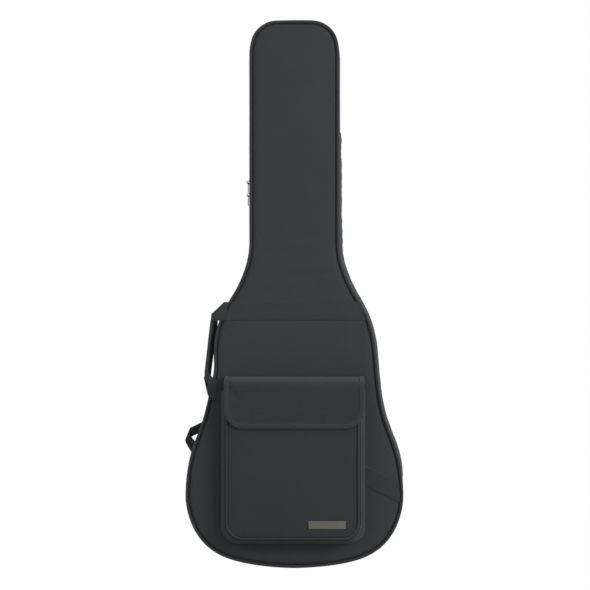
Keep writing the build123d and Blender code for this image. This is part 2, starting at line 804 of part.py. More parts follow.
parts = {
    "back_cover": back_cover,
    "back_foam": back_foam,
    "back_lining": back_lining,
    "rear_side_cover": rear_side_cover,
    "rear_side_foam": rear_side_foam,
    "rear_side_lining": rear_side_lining,
    "rear_piping": rear_piping,
    "front_cover": front_cover,
    "front_foam": front_foam,
    "front_lining": front_lining,
    "front_side_cover": front_side_cover,
    "front_side_foam": front_side_foam,
    "front_side_lining": front_side_lining,
    "front_piping": front_piping,
    "shell_zip_tape": tape(1),
    "lid_zip_tape": tape(-1),
    "shell_zip_chain": chain_row(1),
    "lid_zip_chain": chain_row(-1),
    "hinge_fabric": slack_fabric(),
    "upper_slider": slider(upper_slider_height, -1),
    "lower_slider": slider(lower_slider_height, 1),
    "upper_pull": pull(upper_slider_height),
    "lower_pull": pull(lower_slider_height),
    "upper_band": upper_band(),
    "cross_band": cross_band(),
    "front_handle": front_handle(),
    "pocket_walls": pocket_walls(),
    "pocket_panel": pocket_panel(),
    "pocket_piping": pocket_piping(),
    "pocket_binding": pocket_binding(),
    "pocket_loop_tape": hook_strip(pocket_front - hook_thick, pocket_front),
    "blank_label": label(),
    "flap_panel": flap_panel(),
    "flap_binding": flap_binding(),
    "flap_hook_tape": hook_strip(flap_inner, flap_inner + hook_thick),
    "rear_upper_band": rear_band(upper_band_height),
    "rear_lower_band": rear_band(lower_band_height),
    "rear_handle": rear_handle(),
    "strap_yoke": yoke(),
    "hang_loop": hang_loop(),
    "left_strap_pad": strap_pad(-1),
    "right_strap_pad": strap_pad(1),
    "left_strap_lock": strap_lock(-1),
    "right_strap_lock": strap_lock(1),
    "left_strap_webbing": slack_webbing(-1),
    "right_strap_webbing": taut_webbing(1),
    "left_strap_slider": buckle(-1, 50),
    "right_strap_slider": buckle(1, 50),
}
for name, shape in parts.items():
    export(shape, name)
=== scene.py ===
# %% [markdown]
# # A padded gig bag for an acoustic guitar
#
# The hard facts of this bag, its outline, its hinge, its pocket and every strap, are already
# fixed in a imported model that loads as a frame. This lesson dresses that frame: each flat
# padded wall becomes a soft crowned one, the rims get their round cords, webbing its ribs,
# and every cloth its weave. Each piece stays where the frame has it, and stands out from
# there only as far as filled and folded cloth does.

# %% Load the fixed frame
import json
import math
import bpy
import numpy as np
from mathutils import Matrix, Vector, bvhtree, kdtree, noise

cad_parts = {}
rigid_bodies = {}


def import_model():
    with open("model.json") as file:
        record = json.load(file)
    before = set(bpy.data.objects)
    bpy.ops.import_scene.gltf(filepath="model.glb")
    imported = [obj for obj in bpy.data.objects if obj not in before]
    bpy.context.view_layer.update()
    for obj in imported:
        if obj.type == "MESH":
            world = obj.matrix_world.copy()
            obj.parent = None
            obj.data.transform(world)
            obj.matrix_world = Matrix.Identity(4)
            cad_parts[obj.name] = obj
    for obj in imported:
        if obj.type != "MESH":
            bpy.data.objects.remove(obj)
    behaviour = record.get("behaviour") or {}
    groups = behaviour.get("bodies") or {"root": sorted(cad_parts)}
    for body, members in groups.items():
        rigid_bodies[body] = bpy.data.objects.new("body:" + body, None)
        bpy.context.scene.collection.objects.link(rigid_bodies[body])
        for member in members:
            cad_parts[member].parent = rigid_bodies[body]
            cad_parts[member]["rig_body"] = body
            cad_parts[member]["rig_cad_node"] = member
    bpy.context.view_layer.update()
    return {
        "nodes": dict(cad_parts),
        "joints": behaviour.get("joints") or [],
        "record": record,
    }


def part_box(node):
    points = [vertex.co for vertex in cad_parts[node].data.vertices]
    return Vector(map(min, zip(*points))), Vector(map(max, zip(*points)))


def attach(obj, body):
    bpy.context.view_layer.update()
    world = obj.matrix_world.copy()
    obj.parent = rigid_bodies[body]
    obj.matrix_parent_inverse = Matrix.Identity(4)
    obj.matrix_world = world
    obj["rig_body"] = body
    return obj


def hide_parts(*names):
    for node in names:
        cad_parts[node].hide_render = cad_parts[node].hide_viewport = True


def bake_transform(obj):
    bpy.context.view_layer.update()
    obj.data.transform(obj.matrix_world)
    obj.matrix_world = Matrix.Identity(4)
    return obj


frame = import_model()

# %% [markdown]
# ## Measures that everything shares
#
# The bag stands upright: x runs across it, z up the neck, and the front looks towards -y.
# All depths come from the boxes of the frame's own nodes, so that a piece always lies where
# the frame has it. MM turns the maker's millimetres into Blender's metres.

# %% Depths and heights taken from the frame
MM = 0.001


def low(node):
    """The corner of a node's box with the least x, y and z."""
    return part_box(node)[0]


def high(node):
    """The corner of a node's box with the greatest x, y and z."""
    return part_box(node)[1]


def corners_of(node):
    """The corners of a node's mesh, as an array of x, y and z."""
    return np.array([corner.co for corner in frame["nodes"][node].data.vertices])


def joint(name):
    """One of the frame's joints."""
    return next(found for found in frame["joints"] if found["name"] == name)


FRONT = low("front_cover").y
REAR = high("back_cover").y
ZIP = (high("lid_zip_chain").y + low("shell_zip_chain").y) / 2
TOP = high("front_piping").z
WALL = high("front_lining").y - FRONT
INSET = high("front_side_cover").x - high("front_cover").x
LID_SEAM = low("front_side_cover").y
SHELL_SEAM = high("rear_side_cover").y
TAPE = ZIP - high("front_side_cover").y
print("front", round(FRONT, 4), "rear", round(REAR, 4), "zip line", round(ZIP, 4))

# %% [markdown]
# ## The outline
#
# One closed line runs around the whole bag, and the rims, the zip and the side walls all
# follow it. It could be drawn again as a curve, but the frame already has it: the border of
# the front cover. The border's corners are put in order by the angle at which they are seen
# from the waist, spread evenly along the line, and smoothed a little, as sewn cloth is. Then
# the line moves out or in by a few millimetres, to where a filled bag has its seams.

# %% Even points around the outline, with their outward directions
AROUND = 960
WAIST = Vector((0.0, 0.3))


def even(path, count):
    """The same line with this many evenly spaced points, both ends kept."""
    path = np.asarray(path, float)
    step = np.linalg.norm(np.diff(path, axis=0), axis=1)
    walked = np.concatenate([[0], step.cumsum()])
    marks = np.linspace(0, walked[-1], count)
    return np.stack([np.interp(marks, walked, path[:, k]) for k in range(path.shape[1])], 1)


def even_outline(node, count):
    """Points around the border of a flat node, evenly spaced, as an array of x and z."""
    corners = np.unique(corners_of(node)[:, [0, 2]].round(6), axis=0)
    angle = np.arctan2(corners[:, 0] - WAIST[0], WAIST[1] - corners[:, 1])
    loop = corners[np.argsort(angle)]
    return even(np.vstack([loop, loop[:1]]), count + 1)[:-1]


def smooth_loop(loop, times):
    """Average each value of a closed loop with its two neighbours, some times over."""
    for _ in range(times):
        loop = (np.roll(loop, 1, 0) + 2 * loop + np.roll(loop, -1, 0)) / 4
    return loop


rim = smooth_loop(even_outline("front_cover", AROUND), 6)
along = np.roll(rim, -1, 0) - np.roll(rim, 1, 0)
out = np.stack([along[:, 1], -along[:, 0]], 1) / np.hypot(*along.T)[:, None]
if (rim * out).sum() < 0:
    out = -out
# The filled bag stands a little wider than its flat pattern, most at the two lower corners:
# here are heights above the floor, and how much the outline moves out there, in millimetres.
FULLER_AT = (0, 8, 15, 25, 36, 52, 69, 85, 101, 134, 166, 231, 264, 296, 329, 394, 421, 444,
             482, 507, 524, 545, 1080, 1098, 1112)
FULLER = (0, 1, 4, 8, 11, 10.5, 9, 7, 5, 3.5, 3, 3, 2.5, 1.5, 1, 1, 2, 4,
          4, 3, 1.5, 0, 0, -1.5, -1.5)
fuller = np.interp(rim[:, 1] / MM, FULLER_AT, FULLER) * MM
# Only the side with the handle is pulled in, behind the handle's lower end.
PULLED_IN = 6.0 * MM
PULL_HEIGHT, PULL_REACH = 0.400, 0.035
pull = np.exp(-((rim[:, 1] - PULL_HEIGHT) / PULL_REACH) ** 2) * (rim[:, 0] < 0)
fuller = smooth_loop(fuller - PULLED_IN * pull, 30)
edge = rim + out * (INSET + fuller)[:, None]
edge_length = np.hypot(*(np.roll(edge, -1, 0) - edge).T).sum()
edge_tree = kdtree.KDTree(AROUND)
for index, (x, z) in enumerate(edge):
    edge_tree.insert((x, 0, z), index)
edge_tree.balance()
print("the outline is", round(edge_length, 3), "m around")


def xyz(x, y, z):
    """Points from their three places; each may be an array or one number for all."""
    return np.stack(np.broadcast_arrays(x, y, z), -1)


def loop_at(outwards, depth):
    """The outline moved outwards and set at a depth; both may be one number or one a point."""
    flat = edge + out * np.broadcast_to(outwards, AROUND)[:, None]
    return xyz(flat[:, 0], depth, flat[:, 1])


def inside(points):
    """How far each point lies from the outline, in metres."""
    return np.array([edge_tree.find((p[0], 0, p[2]))[2] for p in points])


def is_within(points):
    """1 for each point on the inner side of the outline, and 0 outside it."""
    near = np.array([edge_tree.find((p[0], 0, p[2]))[1] for p in points])
    away = (np.asarray(points)[:, [0, 2]] - edge[near]) * out[near]
    return (away.sum(1) < 0).astype(int)


# %% [markdown]
# ## Helpers for shaping
#
# Sewn goods are sheets and tubes that follow a seam. A grid from the Add menu has the right
# joins between its faces already, so its points only have to be put in place; a tube is a
# grid whose two ends meet. The cloth's own map is laid in metres along and across each piece:
# a weave drawn on it keeps its thread spacing, however the piece bends.

# %% Selecting, placing points and laying the cloth map


def only(piece):
    """Make this piece the one that is selected and active."""
    bpy.ops.object.select_all(action="DESELECT")
    piece.select_set(True)
    bpy.context.view_layer.objects.active = piece


def points_of(piece):
    """The points of a piece's mesh, as an array of x, y and z."""
    flat = np.empty(len(piece.data.vertices) * 3, np.float32)
    piece.data.vertices.foreach_get("co", flat)
    return flat.reshape(-1, 3).astype(float)


def place_points(piece, points):
    """Move the points of a piece's mesh to these places."""
    piece.data.vertices.foreach_set("co", np.asarray(points, np.float32).ravel())
    piece.data.update()


def lay_cloth(piece, u, v):
    """Map the cloth in metres, from one number along it and one across it for each point."""
    mesh = piece.data
    layer = mesh.uv_layers.active or mesh.uv_layers.new(name="cloth")
    layer.name = "cloth"
    corner = np.empty(len(mesh.loops), np.int32)
    mesh.loops.foreach_get("vertex_index", corner)
    uv = np.stack([np.asarray(u)[corner], np.asarray(v)[corner]], 1)
    layer.data.foreach_set("uv", uv.astype(np.float32).ravel())


def modify(piece, kind, **settings):
    """Add a modifier with its settings and apply it at once."""
    only(piece)
    bpy.ops.object.modifier_add(type=kind)
    modifier = piece.modifiers[-1]
    for name, value in settings.items():
        setattr(modifier, name, value)
    bpy.ops.object.modifier_apply(modifier=modifier.name)
    return piece


def point_outwards(piece):
    """Turn all faces of a closed piece outwards."""
    only(piece)
    bpy.ops.object.mode_set(mode="EDIT")
    bpy.ops.mesh.select_all(action="SELECT")
    bpy.ops.mesh.normals_make_consistent(inside=False)
    bpy.ops.object.mode_set(mode="OBJECT")
    return piece


# %% [markdown]
# A sheet is one grid, and a Solidify modifier gives it a thickness. A tube is a grid too: the
# points where its ends meet are merged, what is still open is filled, and the faces are
# turned outwards.

# %% Sheets and tubes from tables of points


def close_up(piece):
    """Merge what meets, fill open ends and turn the faces outwards."""
    only(piece)
    bpy.ops.object.mode_set(mode="EDIT")
    bpy.ops.mesh.select_all(action="SELECT")
    bpy.ops.mesh.remove_doubles(threshold=1e-6)
    bpy.ops.mesh.select_all(action="SELECT")
    bpy.ops.mesh.fill_holes(sides=0)
    bpy.ops.object.mode_set(mode="OBJECT")
    return point_outwards(piece)


def sheet_piece(name, points):
    """An open sheet from a table of points, with rows that go up and columns to the side."""
    points = np.asarray(points, float)
    rows, columns = points.shape[:2]
    bpy.ops.object.select_all(action="DESELECT")
    bpy.ops.mesh.primitive_grid_add(x_subdivisions=columns - 1, y_subdivisions=rows - 1)
    piece = bpy.context.object
    piece.name = name
    place_points(piece, points.reshape(-1, 3))
    along = np.linalg.norm(np.diff(points, axis=1), axis=2).mean(0)
    across = np.linalg.norm(np.diff(points, axis=0), axis=2).mean(1)
    u, v = (np.concatenate([[0], steps.cumsum()]) for steps in (along, across))
    lay_cloth(piece, np.tile(u, rows), np.repeat(v, columns))
    bpy.ops.object.shade_smooth()
    return piece


def thick_sheet(name, points, thick, offset=0):
    """A sheet with a thickness; offset is 0 where it grows both ways, or -1 or 1 for one."""
    piece = modify(sheet_piece(name, points), "SOLIDIFY", thickness=thick, offset=offset)
    return point_outwards(piece)


def ring_piece(name, loops):
    """A closed tube around the bag; loops has one closed loop of points after another."""
    loops = np.asarray(loops)
    loops = np.concatenate([loops, loops[:1]])
    return close_up(sheet_piece(name, np.concatenate([loops, loops[:, :1]], 1)))


def ripple(points, size, seed):
    """Smooth noise between -1 and 1 with bumps of about this size, one number a point."""
    shift = Vector((seed, 2.3 * seed, 0.7 * seed))
    return np.array([noise.noise(Vector(p) / size + shift) for p in points])


def ease(value, start, end):
    """0 before the start, 1 after the end, and a smooth rise between."""
    t = np.clip((value - start) / (end - start), 0, 1)
    return t * t * (3 - 2 * t)


# %% [markdown]
# ## Cloths and finishes
#
# Nearly all of this bag is polyester, woven in different ways. Polyester yarn is a plastic:
# its refraction is near 1.5, it is dull because it scatters light between the threads, and
# it has a faint sheen at glancing angles. A weave is drawn as two sets of ridges that take
# turns on top, like a draughts board, and fed to a bump. Real threads lie about half a
# millimetre apart; they are drawn about twice as coarse, so that they still show from two
# metres away.

# %% A node helper, and colours as the eye reads them


def linear(code):
    """A colour written as an sRGB hex code, turned into the linear values of the shader."""
    parts = [int(code[k:k + 2], 16) / 255 for k in (1, 3, 5)]
    return [c / 12.92 if c < 0.04045 else ((c + 0.055) / 1.055) ** 2.4 for c in parts] + [1.0]


def add(tree, kind, sockets=(), **settings):
    """Add one node: settings are its properties, sockets its values or what links to them."""
    made = tree.nodes.new(kind)
    for name, value in settings.items():
        setattr(made, name, value)
    for name, value in dict(sockets).items():
        if isinstance(value, bpy.types.NodeSocket):
            tree.links.new(value, made.inputs[name])
        else:
            made.inputs[name].default_value = value
    return made


def new_material(name, slot):
    """An empty material with its shader; slot is the record's material slot it stands for."""
    made = bpy.data.materials.new(name)
    made.use_nodes = True
    made["slot"] = slot
    shader = made.node_tree.nodes["Principled BSDF"]
    return made, made.node_tree, shader


def bands(pitch):
    """Scale of a wave texture whose bands lie this far apart, in metres."""
    return 2 * math.pi / 20 / pitch


# %% [markdown]
# ### Woven cloth
#
# The covers are a plain weave of thick polyester yarn. The same recipe, with other spacings
# and strengths, gives the smooth cloth of the cords and bindings, the lining, the ribs of
# webbing and the finer ones of zip tape. Two soft clouds of different size vary the tone a
# little, as dye, handling and stray fibres do.

# %% The recipe for woven cloth
CLOUD_SCALE = 9.0  # patches of tone about 110 mm across
FUZZ_SCALE = 420.0  # stray fibres about 2.4 mm apart


def woven(name, slot, colour, pitch, rib, depth, rough, uneven=0.12, sheen=0.12):
    """Cloth with threads a pitch apart along it and a rib apart across it."""
    made, tree, shader = new_material(name, slot)
    cloth = add(tree, "ShaderNodeUVMap", uv_map="cloth").outputs["UV"]
    warp = add(tree, "ShaderNodeTexWave", {"Vector": cloth, "Scale": bands(rib)},
               bands_direction="X", wave_profile="SIN").outputs["Fac"]
    weft = add(tree, "ShaderNodeTexWave", {"Vector": cloth, "Scale": bands(pitch)},
               bands_direction="Y", wave_profile="SIN").outputs["Fac"]
    squares = add(tree, "ShaderNodeVectorMath", {0: cloth, 1: (1 / rib, 1 / pitch, 1)},
                  operation="MULTIPLY").outputs["Vector"]
    turns = add(tree, "ShaderNodeTexChecker", {"Vector": squares, "Scale": 1.0}).outputs["Fac"]
    threads = add(tree, "ShaderNodeMix", {0: turns, 2: warp, 3: weft}).outputs[0]
    place = add(tree, "ShaderNodeTexCoord").outputs["Object"]
    clouds = add(tree, "ShaderNodeTexNoise", {"Vector": place, "Scale": CLOUD_SCALE,
                                              "Detail": 4.0, "Roughness": 0.6}).outputs["Fac"]
    fuzz = add(tree, "ShaderNodeTexNoise", {"Vector": place, "Scale": FUZZ_SCALE,
                                            "Detail": 2.0}).outputs["Fac"]
    tone = add(tree, "ShaderNodeMath", {0: clouds, 1: 0.5},
               operation="SUBTRACT").outputs[0]
    tone = add(tree, "ShaderNodeMath", {0: tone, 1: uneven * 2, 2: 1.0},
               operation="MULTIPLY_ADD").outputs[0]
    grain = add(tree, "ShaderNodeMath", {0: threads, 1: 0.16, 2: 0.92},
                operation="MULTIPLY_ADD").outputs[0]
    speck = add(tree, "ShaderNodeMath", {0: fuzz, 1: 0.24, 2: 0.88},
                operation="MULTIPLY_ADD").outputs[0]
    tone = add(tree, "ShaderNodeMath", {0: tone, 1: grain}, operation="MULTIPLY").outputs[0]
    tone = add(tree, "ShaderNodeMath", {0: tone, 1: speck}, operation="MULTIPLY").outputs[0]
    dye = add(tree, "ShaderNodeVectorMath", {0: linear(colour)[:3], "Scale": tone},
              operation="SCALE").outputs["Vector"]
    tree.links.new(dye, shader.inputs["Base Color"])
    height = add(tree, "ShaderNodeMath", {0: fuzz, 1: 0.35, 2: threads},
                 operation="MULTIPLY_ADD").outputs[0]
    bump = add(tree, "ShaderNodeBump", {"Height": height, "Distance": depth,
                                        "Strength": 0.6}).outputs["Normal"]
    tree.links.new(bump, shader.inputs["Normal"])
    shader.inputs["Roughness"].default_value = rough
    shader.inputs["IOR"].default_value = 1.5
    shader.inputs["Specular IOR Level"].default_value = 0.25
    shader.inputs["Sheen Weight"].default_value = sheen
    shader.inputs["Sheen Roughness"].default_value = 0.6
    return made


# Thick polyester in a plain weave: dull and dark, with a fine square grain.
plain_weave = woven("oxford_polyester", "woven_polyester", "#34363b", 1.1 * MM, 1.1 * MM,
                    0.00025, 0.85)
# Thin polyester, closely woven: smoother, and a little glossier.
cord_cloth = woven("smooth_polyester_cloth", "smooth_polyester", "#2d2f34", 0.7 * MM,
                   0.7 * MM, 0.0001, 0.7)
# The thick cloth again, made darker as painted shade for the pocket and its flap lower down.
shaded_pocket_weave = woven("pocket_polyester_painted_shade", "woven_polyester", "#2d2f34", 1.1 * MM, 1.1 * MM,
                     0.00025, 0.85)
# Brushed polyester: matt and soft, with hardly a thread to be seen.
lining_cloth = woven("brushed_lining", "lining_cloth", "#2b2c30", 1.6 * MM, 0.9 * MM,
                     0.0002, 0.9)
# Webbing, woven in ribs: coarse ridges that catch the light in short dashes.
webbing_cloth = woven("ribbed_webbing", "webbing", "#303237", 2.2 * MM, 1.3 * MM, 0.0004, 0.8)
# Zip tape: narrow, dark and closely woven.
tape_cloth = woven("zip_tape_weave", "zip_tape_cloth", "#26272b", 0.8 * MM, 1.6 * MM,
                   0.0002, 0.8)
# Painted shade in the groove beside a cord: nearly black and without sheen, for the seam's
# shadow.
seam_shade_cloth = woven("painted_seam_shade", "smooth_polyester", "#1e1f23", 0.7 * MM, 0.7 * MM,
                  0.0001, 0.9, sheen=0.0)
# A satin label: almost no grain, and the only pale piece.
label_weave = woven("satin_label", "label_cloth", "#676759", 0.6 * MM, 0.6 * MM, 0.00005, 0.6)
print("made", len(bpy.data.materials), "materials so far")

# %% [markdown]
# ### Foam, plastic, metal and hook tape
#
# The foam stays out of sight between its cloths, and has a finish all the same. Moulded acetal
# is a smooth dark plastic with a soft gloss, and the zip's coils are drawn nylon. The sliders
# are die-cast zinc with a black nickel coat: a dark metal, with fine wear that dulls it in
# places. Hook and loop tape is a field of short stiff hairs, which reads as a dense speckle.

# %% Finishes that aren't woven
WEAR_SCALE = 60.0  # worn patches about 17 mm across


def grained(name, slot, colour, size, depth, rough, metal=0.0, spread=0.1):
    """A solid finish with a fine grain of this size that varies its gloss and its surface."""
    made, tree, shader = new_material(name, slot)
    place = add(tree, "ShaderNodeTexCoord").outputs["Object"]
    grain = add(tree, "ShaderNodeTexNoise", {"Vector": place, "Scale": 1 / size,
                                             "Detail": 3.0}).outputs["Fac"]
    wear = add(tree, "ShaderNodeTexNoise", {"Vector": place, "Scale": WEAR_SCALE,
                                            "Detail": 3.0}).outputs["Fac"]
    gloss = add(tree, "ShaderNodeMapRange", {"Value": wear, "To Min": rough - spread,
                                             "To Max": rough + spread}).outputs["Result"]
    tree.links.new(gloss, shader.inputs["Roughness"])
    tone = add(tree, "ShaderNodeMapRange", {"Value": grain, "To Min": 1 - spread,
                                            "To Max": 1 + spread}).outputs["Result"]
    dye = add(tree, "ShaderNodeVectorMath", {0: linear(colour)[:3], "Scale": tone},
              operation="SCALE").outputs["Vector"]
    tree.links.new(dye, shader.inputs["Base Color"])
    bump = add(tree, "ShaderNodeBump", {"Height": grain, "Distance": depth,
                                        "Strength": 0.5}).outputs["Normal"]
    tree.links.new(bump, shader.inputs["Normal"])
    shader.inputs["Metallic"].default_value = metal
    return made


foam = grained("closed_cell_foam", "foam_sheet", "#8d8f94", 1.2 * MM, 0.0003, 0.9)
acetal = grained("moulded_acetal", "moulded_acetal", "#1b1c1f", 0.5 * MM, 0.00003, 0.42)
nylon = grained("drawn_nylon", "zip_coil", "#1d1e21", 0.6 * MM, 0.00003, 0.4)
nickel = grained("nickel_plated_zinc", "nickel_zinc", "#2f3035", 0.8 * MM, 0.00002, 0.24, 1.0)
hook_tape = grained("hook_and_loop_pile", "hook_and_loop", "#232427", 0.7 * MM, 0.0006, 0.9)

# %% [markdown]
# Every new piece gets its cloth and its place on a body of the frame, and the nodes that it
# stands for are hidden. One helper does this, so that no piece is forgotten.

# %% Hand a piece over to the frame


def hand_over(piece, body, material, *nodes):
    """Give a piece its finish, let it ride on a body, if any, and hide the nodes it replaces."""
    piece.data.materials.clear()
    piece.data.materials.append(material)
    if body:
        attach(piece, body)
    if nodes:
        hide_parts(*nodes)
    print(piece.name, "has", len(piece.data.polygons), "faces of", material.name)
    return piece


# %% [markdown]
# ## How the front swells
#
# The front is foam between two cloths, sewn down hard along the cord. Away from that seam
# it rises a few millimetres, and it is never quite even: soft creases cross it where the neck
# meets the body, and the seam of the pocket's flap holds it down. One function gives this
# relief to both panels, and the pocket's walls stand on it.

# %% Relief of the two large panels
SWELL = 3.0 * MM
RISE_REACH = 22 * MM  # from the seam to where most of that height is reached
FLAT_STRIP = 6 * MM  # beside the cord, where the seam keeps the cloth down
UNEVEN = 1.3 * MM  # of the foam, in waves about a hand wide
FLAP_LINE = joint("flap_hinge")["pos_m"][2]
FLAP_HALF = high("flap_panel").x
HELD_ABOVE = 16 * MM  # from the flap's line to where its seam holds the cloth most


def swell(points, creases, has_flap):
    """Height of a padded panel over its flat face."""
    deep = inside(points)
    points = np.asarray(points)
    z = points[:, 2]
    height = SWELL * (1 - np.exp(-np.maximum(deep - FLAT_STRIP, 0) / RISE_REACH))
    height += UNEVEN * ripple(points, 0.13, 1.7) * ease(deep, 0.01, 0.05)
    if has_flap:
        held = np.exp(-((z - FLAP_LINE - HELD_ABOVE) / 0.03) ** 2)
        held *= 1 - ease(abs(points[:, 0]), FLAP_HALF, FLAP_HALF + 0.02)
        height *= 1 - held
    for middle, width, lean, depth in creases:
        line = z - middle - lean * points[:, 0] - 0.006 * ripple(points, 0.06, middle * 9)
        height -= depth * np.exp(-(line / width) ** 2) * ease(deep, 0.0, 0.03)
    return height


# Each crease has a height, a half width, a lean and a depth.
NECK_CREASES = (
    (0.668, 0.009, 0.05, 1.5 * MM),
    (0.636, 0.012, -0.12, 1.3 * MM),
    (0.592, 0.010, 0.08, 1.4 * MM),
    (0.560, 0.014, 0.02, 1.0 * MM),
)
BACK_CREASE = ((0.60, 0.02, 0.03, 0.6 * MM),)


def front_y(points):
    """Depth of the front's cloth at these points."""
    return FRONT - swell(points, NECK_CREASES, True)


# %% [markdown]
# ## The two padded panels
#
# A panel starts as a filled circle whose rim is laid along the outline. Extruding gives the
# wall's thickness, and a remesh gives an even net of small faces that can crease anywhere.
# The outer side then takes the relief, and the inner side, the lining, stays flat.

# %% Front and back panel
SEAM_GAP = 4.0 * MM  # from the outline to the border of the slab
SUNK = 0.8 * MM  # the slab's outer side before it takes the relief
NET = 4.5 * MM  # side of a face after the remesh
VALLEY = 2.2 * MM  # how far the seam pulls the border in


def padded_panel(name, face, inwards, creases, has_flap):
    """A closed, crowned slab inside the outline; inwards is +1 for the front."""
    bpy.ops.object.select_all(action="DESELECT")
    bpy.ops.mesh.primitive_circle_add(vertices=AROUND, fill_type="NGON")
    piece = bpy.context.object
    piece.name = name
    place_points(piece, loop_at(-SEAM_GAP, face + inwards * SUNK))
    bpy.ops.object.mode_set(mode="EDIT")
    bpy.ops.mesh.select_all(action="SELECT")
    bpy.ops.mesh.extrude_region_move(
        TRANSFORM_OT_translate={"value": (0, inwards * (WALL - SUNK), 0)})
    bpy.ops.object.mode_set(mode="OBJECT")
    point_outwards(piece)
    modify(piece, "REMESH", mode="VOXEL", voxel_size=NET)
    modify(piece, "SMOOTH", factor=0.5, iterations=4)
    points = points_of(piece)
    depth = (points[:, 1] - face) * inwards / WALL
    outer = 1 - ease(depth, 0.3, 0.7)
    rise = swell(points, creases, has_flap)
    valley = VALLEY * np.exp(-np.maximum(inside(points) - SEAM_GAP, 0) / (2 * MM))
    points[:, 1] -= inwards * (rise - valley) * outer
    place_points(piece, points)
    lay_cloth(piece, points[:, 0], points[:, 2])
    bpy.ops.object.shade_smooth()
    return piece


def line_inside(piece, lined):
    """Show the lining on the faces whose middles are marked."""
    piece.data.materials.append(lining_cloth)
    piece.data.polygons.foreach_set("material_index", lined.astype(np.int32))


def middles(piece):
    """Middles of a piece's faces."""
    flat = np.empty(len(piece.data.polygons) * 3, np.float32)
    piece.data.polygons.foreach_get("center", flat)
    return flat.reshape(-1, 3)


front_pad = padded_panel("front_padding", FRONT, 1, NECK_CREASES, True)
hand_over(front_pad, "lid", plain_weave, "front_cover", "front_foam", "front_lining")
line_inside(front_pad, middles(front_pad)[:, 1] > FRONT + WALL / 2)
back_pad = padded_panel("back_padding", REAR, -1, BACK_CREASE, False)
hand_over(back_pad, "shell", plain_weave, "back_cover", "back_foam", "back_lining")
line_inside(back_pad, middles(back_pad)[:, 1] < REAR - WALL / 2)

# %% [markdown]
# ## The padded side walls
#
# Between each cord and the zip runs a strip of the same padded wall, bent around the whole
# outline. Its outer cloth is held by two seams and bellies out between them. On the hinge
# side no zip keeps the cloth straight. It is cut a little too long, so it stands out as one
# round belly, deepest where the body meets the neck, and gathers into short puckers above.

# %% Front and rear side wall
HINGE_LOW = low("hinge_fabric").z
HINGE_HIGH = high("hinge_fabric").z
# Heights on the hinge side, and how far its cloth stands out there, in millimetres.
SLACK_HEIGHTS = (0.165, 0.190, 0.215, 0.263, 0.310, 0.361, 0.430, 0.480, 0.595, 0.656,
                 0.740, 0.860, 0.882, 0.889)
SLACK = (0.0, 2.5, 4.5, 4.5, 4.2, 4.2, 4.2, 4.4, 6.2, 6.2, 4.6, 4.2, 3.8, 0.0)


def slack_at(points):
    """How far the cloth of the hinge side stands out, and how strongly it puckers, 0 to 1."""
    points = np.asarray(points)
    x, z = points[:, 0], points[:, 2]
    stands = np.interp(z, SLACK_HEIGHTS, np.array(SLACK) * MM) * (x > 0)
    gathers = ease(z, 0.56, 0.66) * (1 - ease(z, HINGE_HIGH - 0.01, HINGE_HIGH)) * (x > 0)
    return stands, gathers


def puckers(points):
    """Sharp dips across the cloth at uneven steps along the neck."""
    wave = ripple(points * (1, 0.25, 1), 0.021, 3.1)
    fine = ripple(points * (1, 0.25, 1), 0.009, 1.2)
    return -1.8 * MM * np.abs(wave) ** 0.7 + 0.9 * MM + 0.5 * MM * fine


def side_wall(name, seam, zip_edge, belly):
    """A closed padded strip between a cord's seam and the edge of the zip's tape."""
    outer_rows, inner_rows = 14, 6
    loops = []
    stands, gathers = slack_at(loop_at(0, 0))

    def lift(t):
        return 0.8 * stands * math.sin(math.pi / 2 * t) ** 0.8

    for k in range(outer_rows + 1):
        t = k / outer_rows
        depth = seam + (zip_edge - seam) * t
        bulge = belly * math.sin(math.pi * t) ** 0.7
        probe = loop_at(0, depth)
        soft = 0.4 * MM * ripple(probe, 0.05, 5.2) * math.sin(math.pi * t)
        gathered = puckers(probe) * gathers * ease(t, 0.2, 0.9)
        loops.append(loop_at(bulge + soft + lift(t) + gathered, depth))
    for k in range(inner_rows + 1):
        t = 1 - k / inner_rows
        depth = seam + (zip_edge - seam) * t
        loops.append(loop_at(lift(t) - WALL + 0.5 * MM * math.sin(math.pi * t), depth))
    return ring_piece(name, loops)


def wall_lining(piece):
    """Marks for the faces of a side wall that look into the bag."""
    place = middles(piece)
    stands = slack_at(place)[0]
    return inside(place) * (2 * is_within(place) - 1) + 0.5 * stands > WALL / 2


front_side = side_wall("front_side_padding", LID_SEAM, ZIP - TAPE, 0.9 * MM)
hand_over(front_side, "lid", plain_weave, "front_side_cover", "front_side_foam",
          "front_side_lining")
line_inside(front_side, wall_lining(front_side))
rear_side = side_wall("rear_side_padding", SHELL_SEAM, ZIP + TAPE, 1.3 * MM)
hand_over(rear_side, "shell", plain_weave, "rear_side_cover", "rear_side_foam",
          "rear_side_lining")
line_inside(rear_side, wall_lining(rear_side))

# %% [markdown]
# ## The cords of both rims
#
# A cord covered with smooth cloth is caught in the seam between panel and side wall. It is a
# tube on the outline. Sewing pulls it in a little between stitches, so its radius wanders by
# a tenth of a millimetre. On both sides of it lies a narrow sunk strip of nearly black cloth:
# painted shade, which draws the fine dark line of shadow that goes along any corded seam.

# %% Front and rear cord
CORD = (high("front_piping").y - low("front_piping").y) / 2
PROUD = high("front_piping").x - high("front_side_cover").x
CORD_SIDES = 14


def rim_cord(name, depth):
    """Cord around the whole outline with its middle at a depth."""
    loops = []
    outwards = PROUD - CORD
    wander = 1 + 0.03 * ripple(loop_at(0, depth), 0.012, 8.4)
    sway = 0.25 * MM * ripple(loop_at(0, depth), 0.06, 2.2)
    for k in range(CORD_SIDES):
        turn = 2 * math.pi * k / CORD_SIDES
        radius = CORD * wander
        loops.append(loop_at(outwards + sway + radius * math.cos(turn),
                             depth + radius * math.sin(turn)))
    return ring_piece(name, loops)


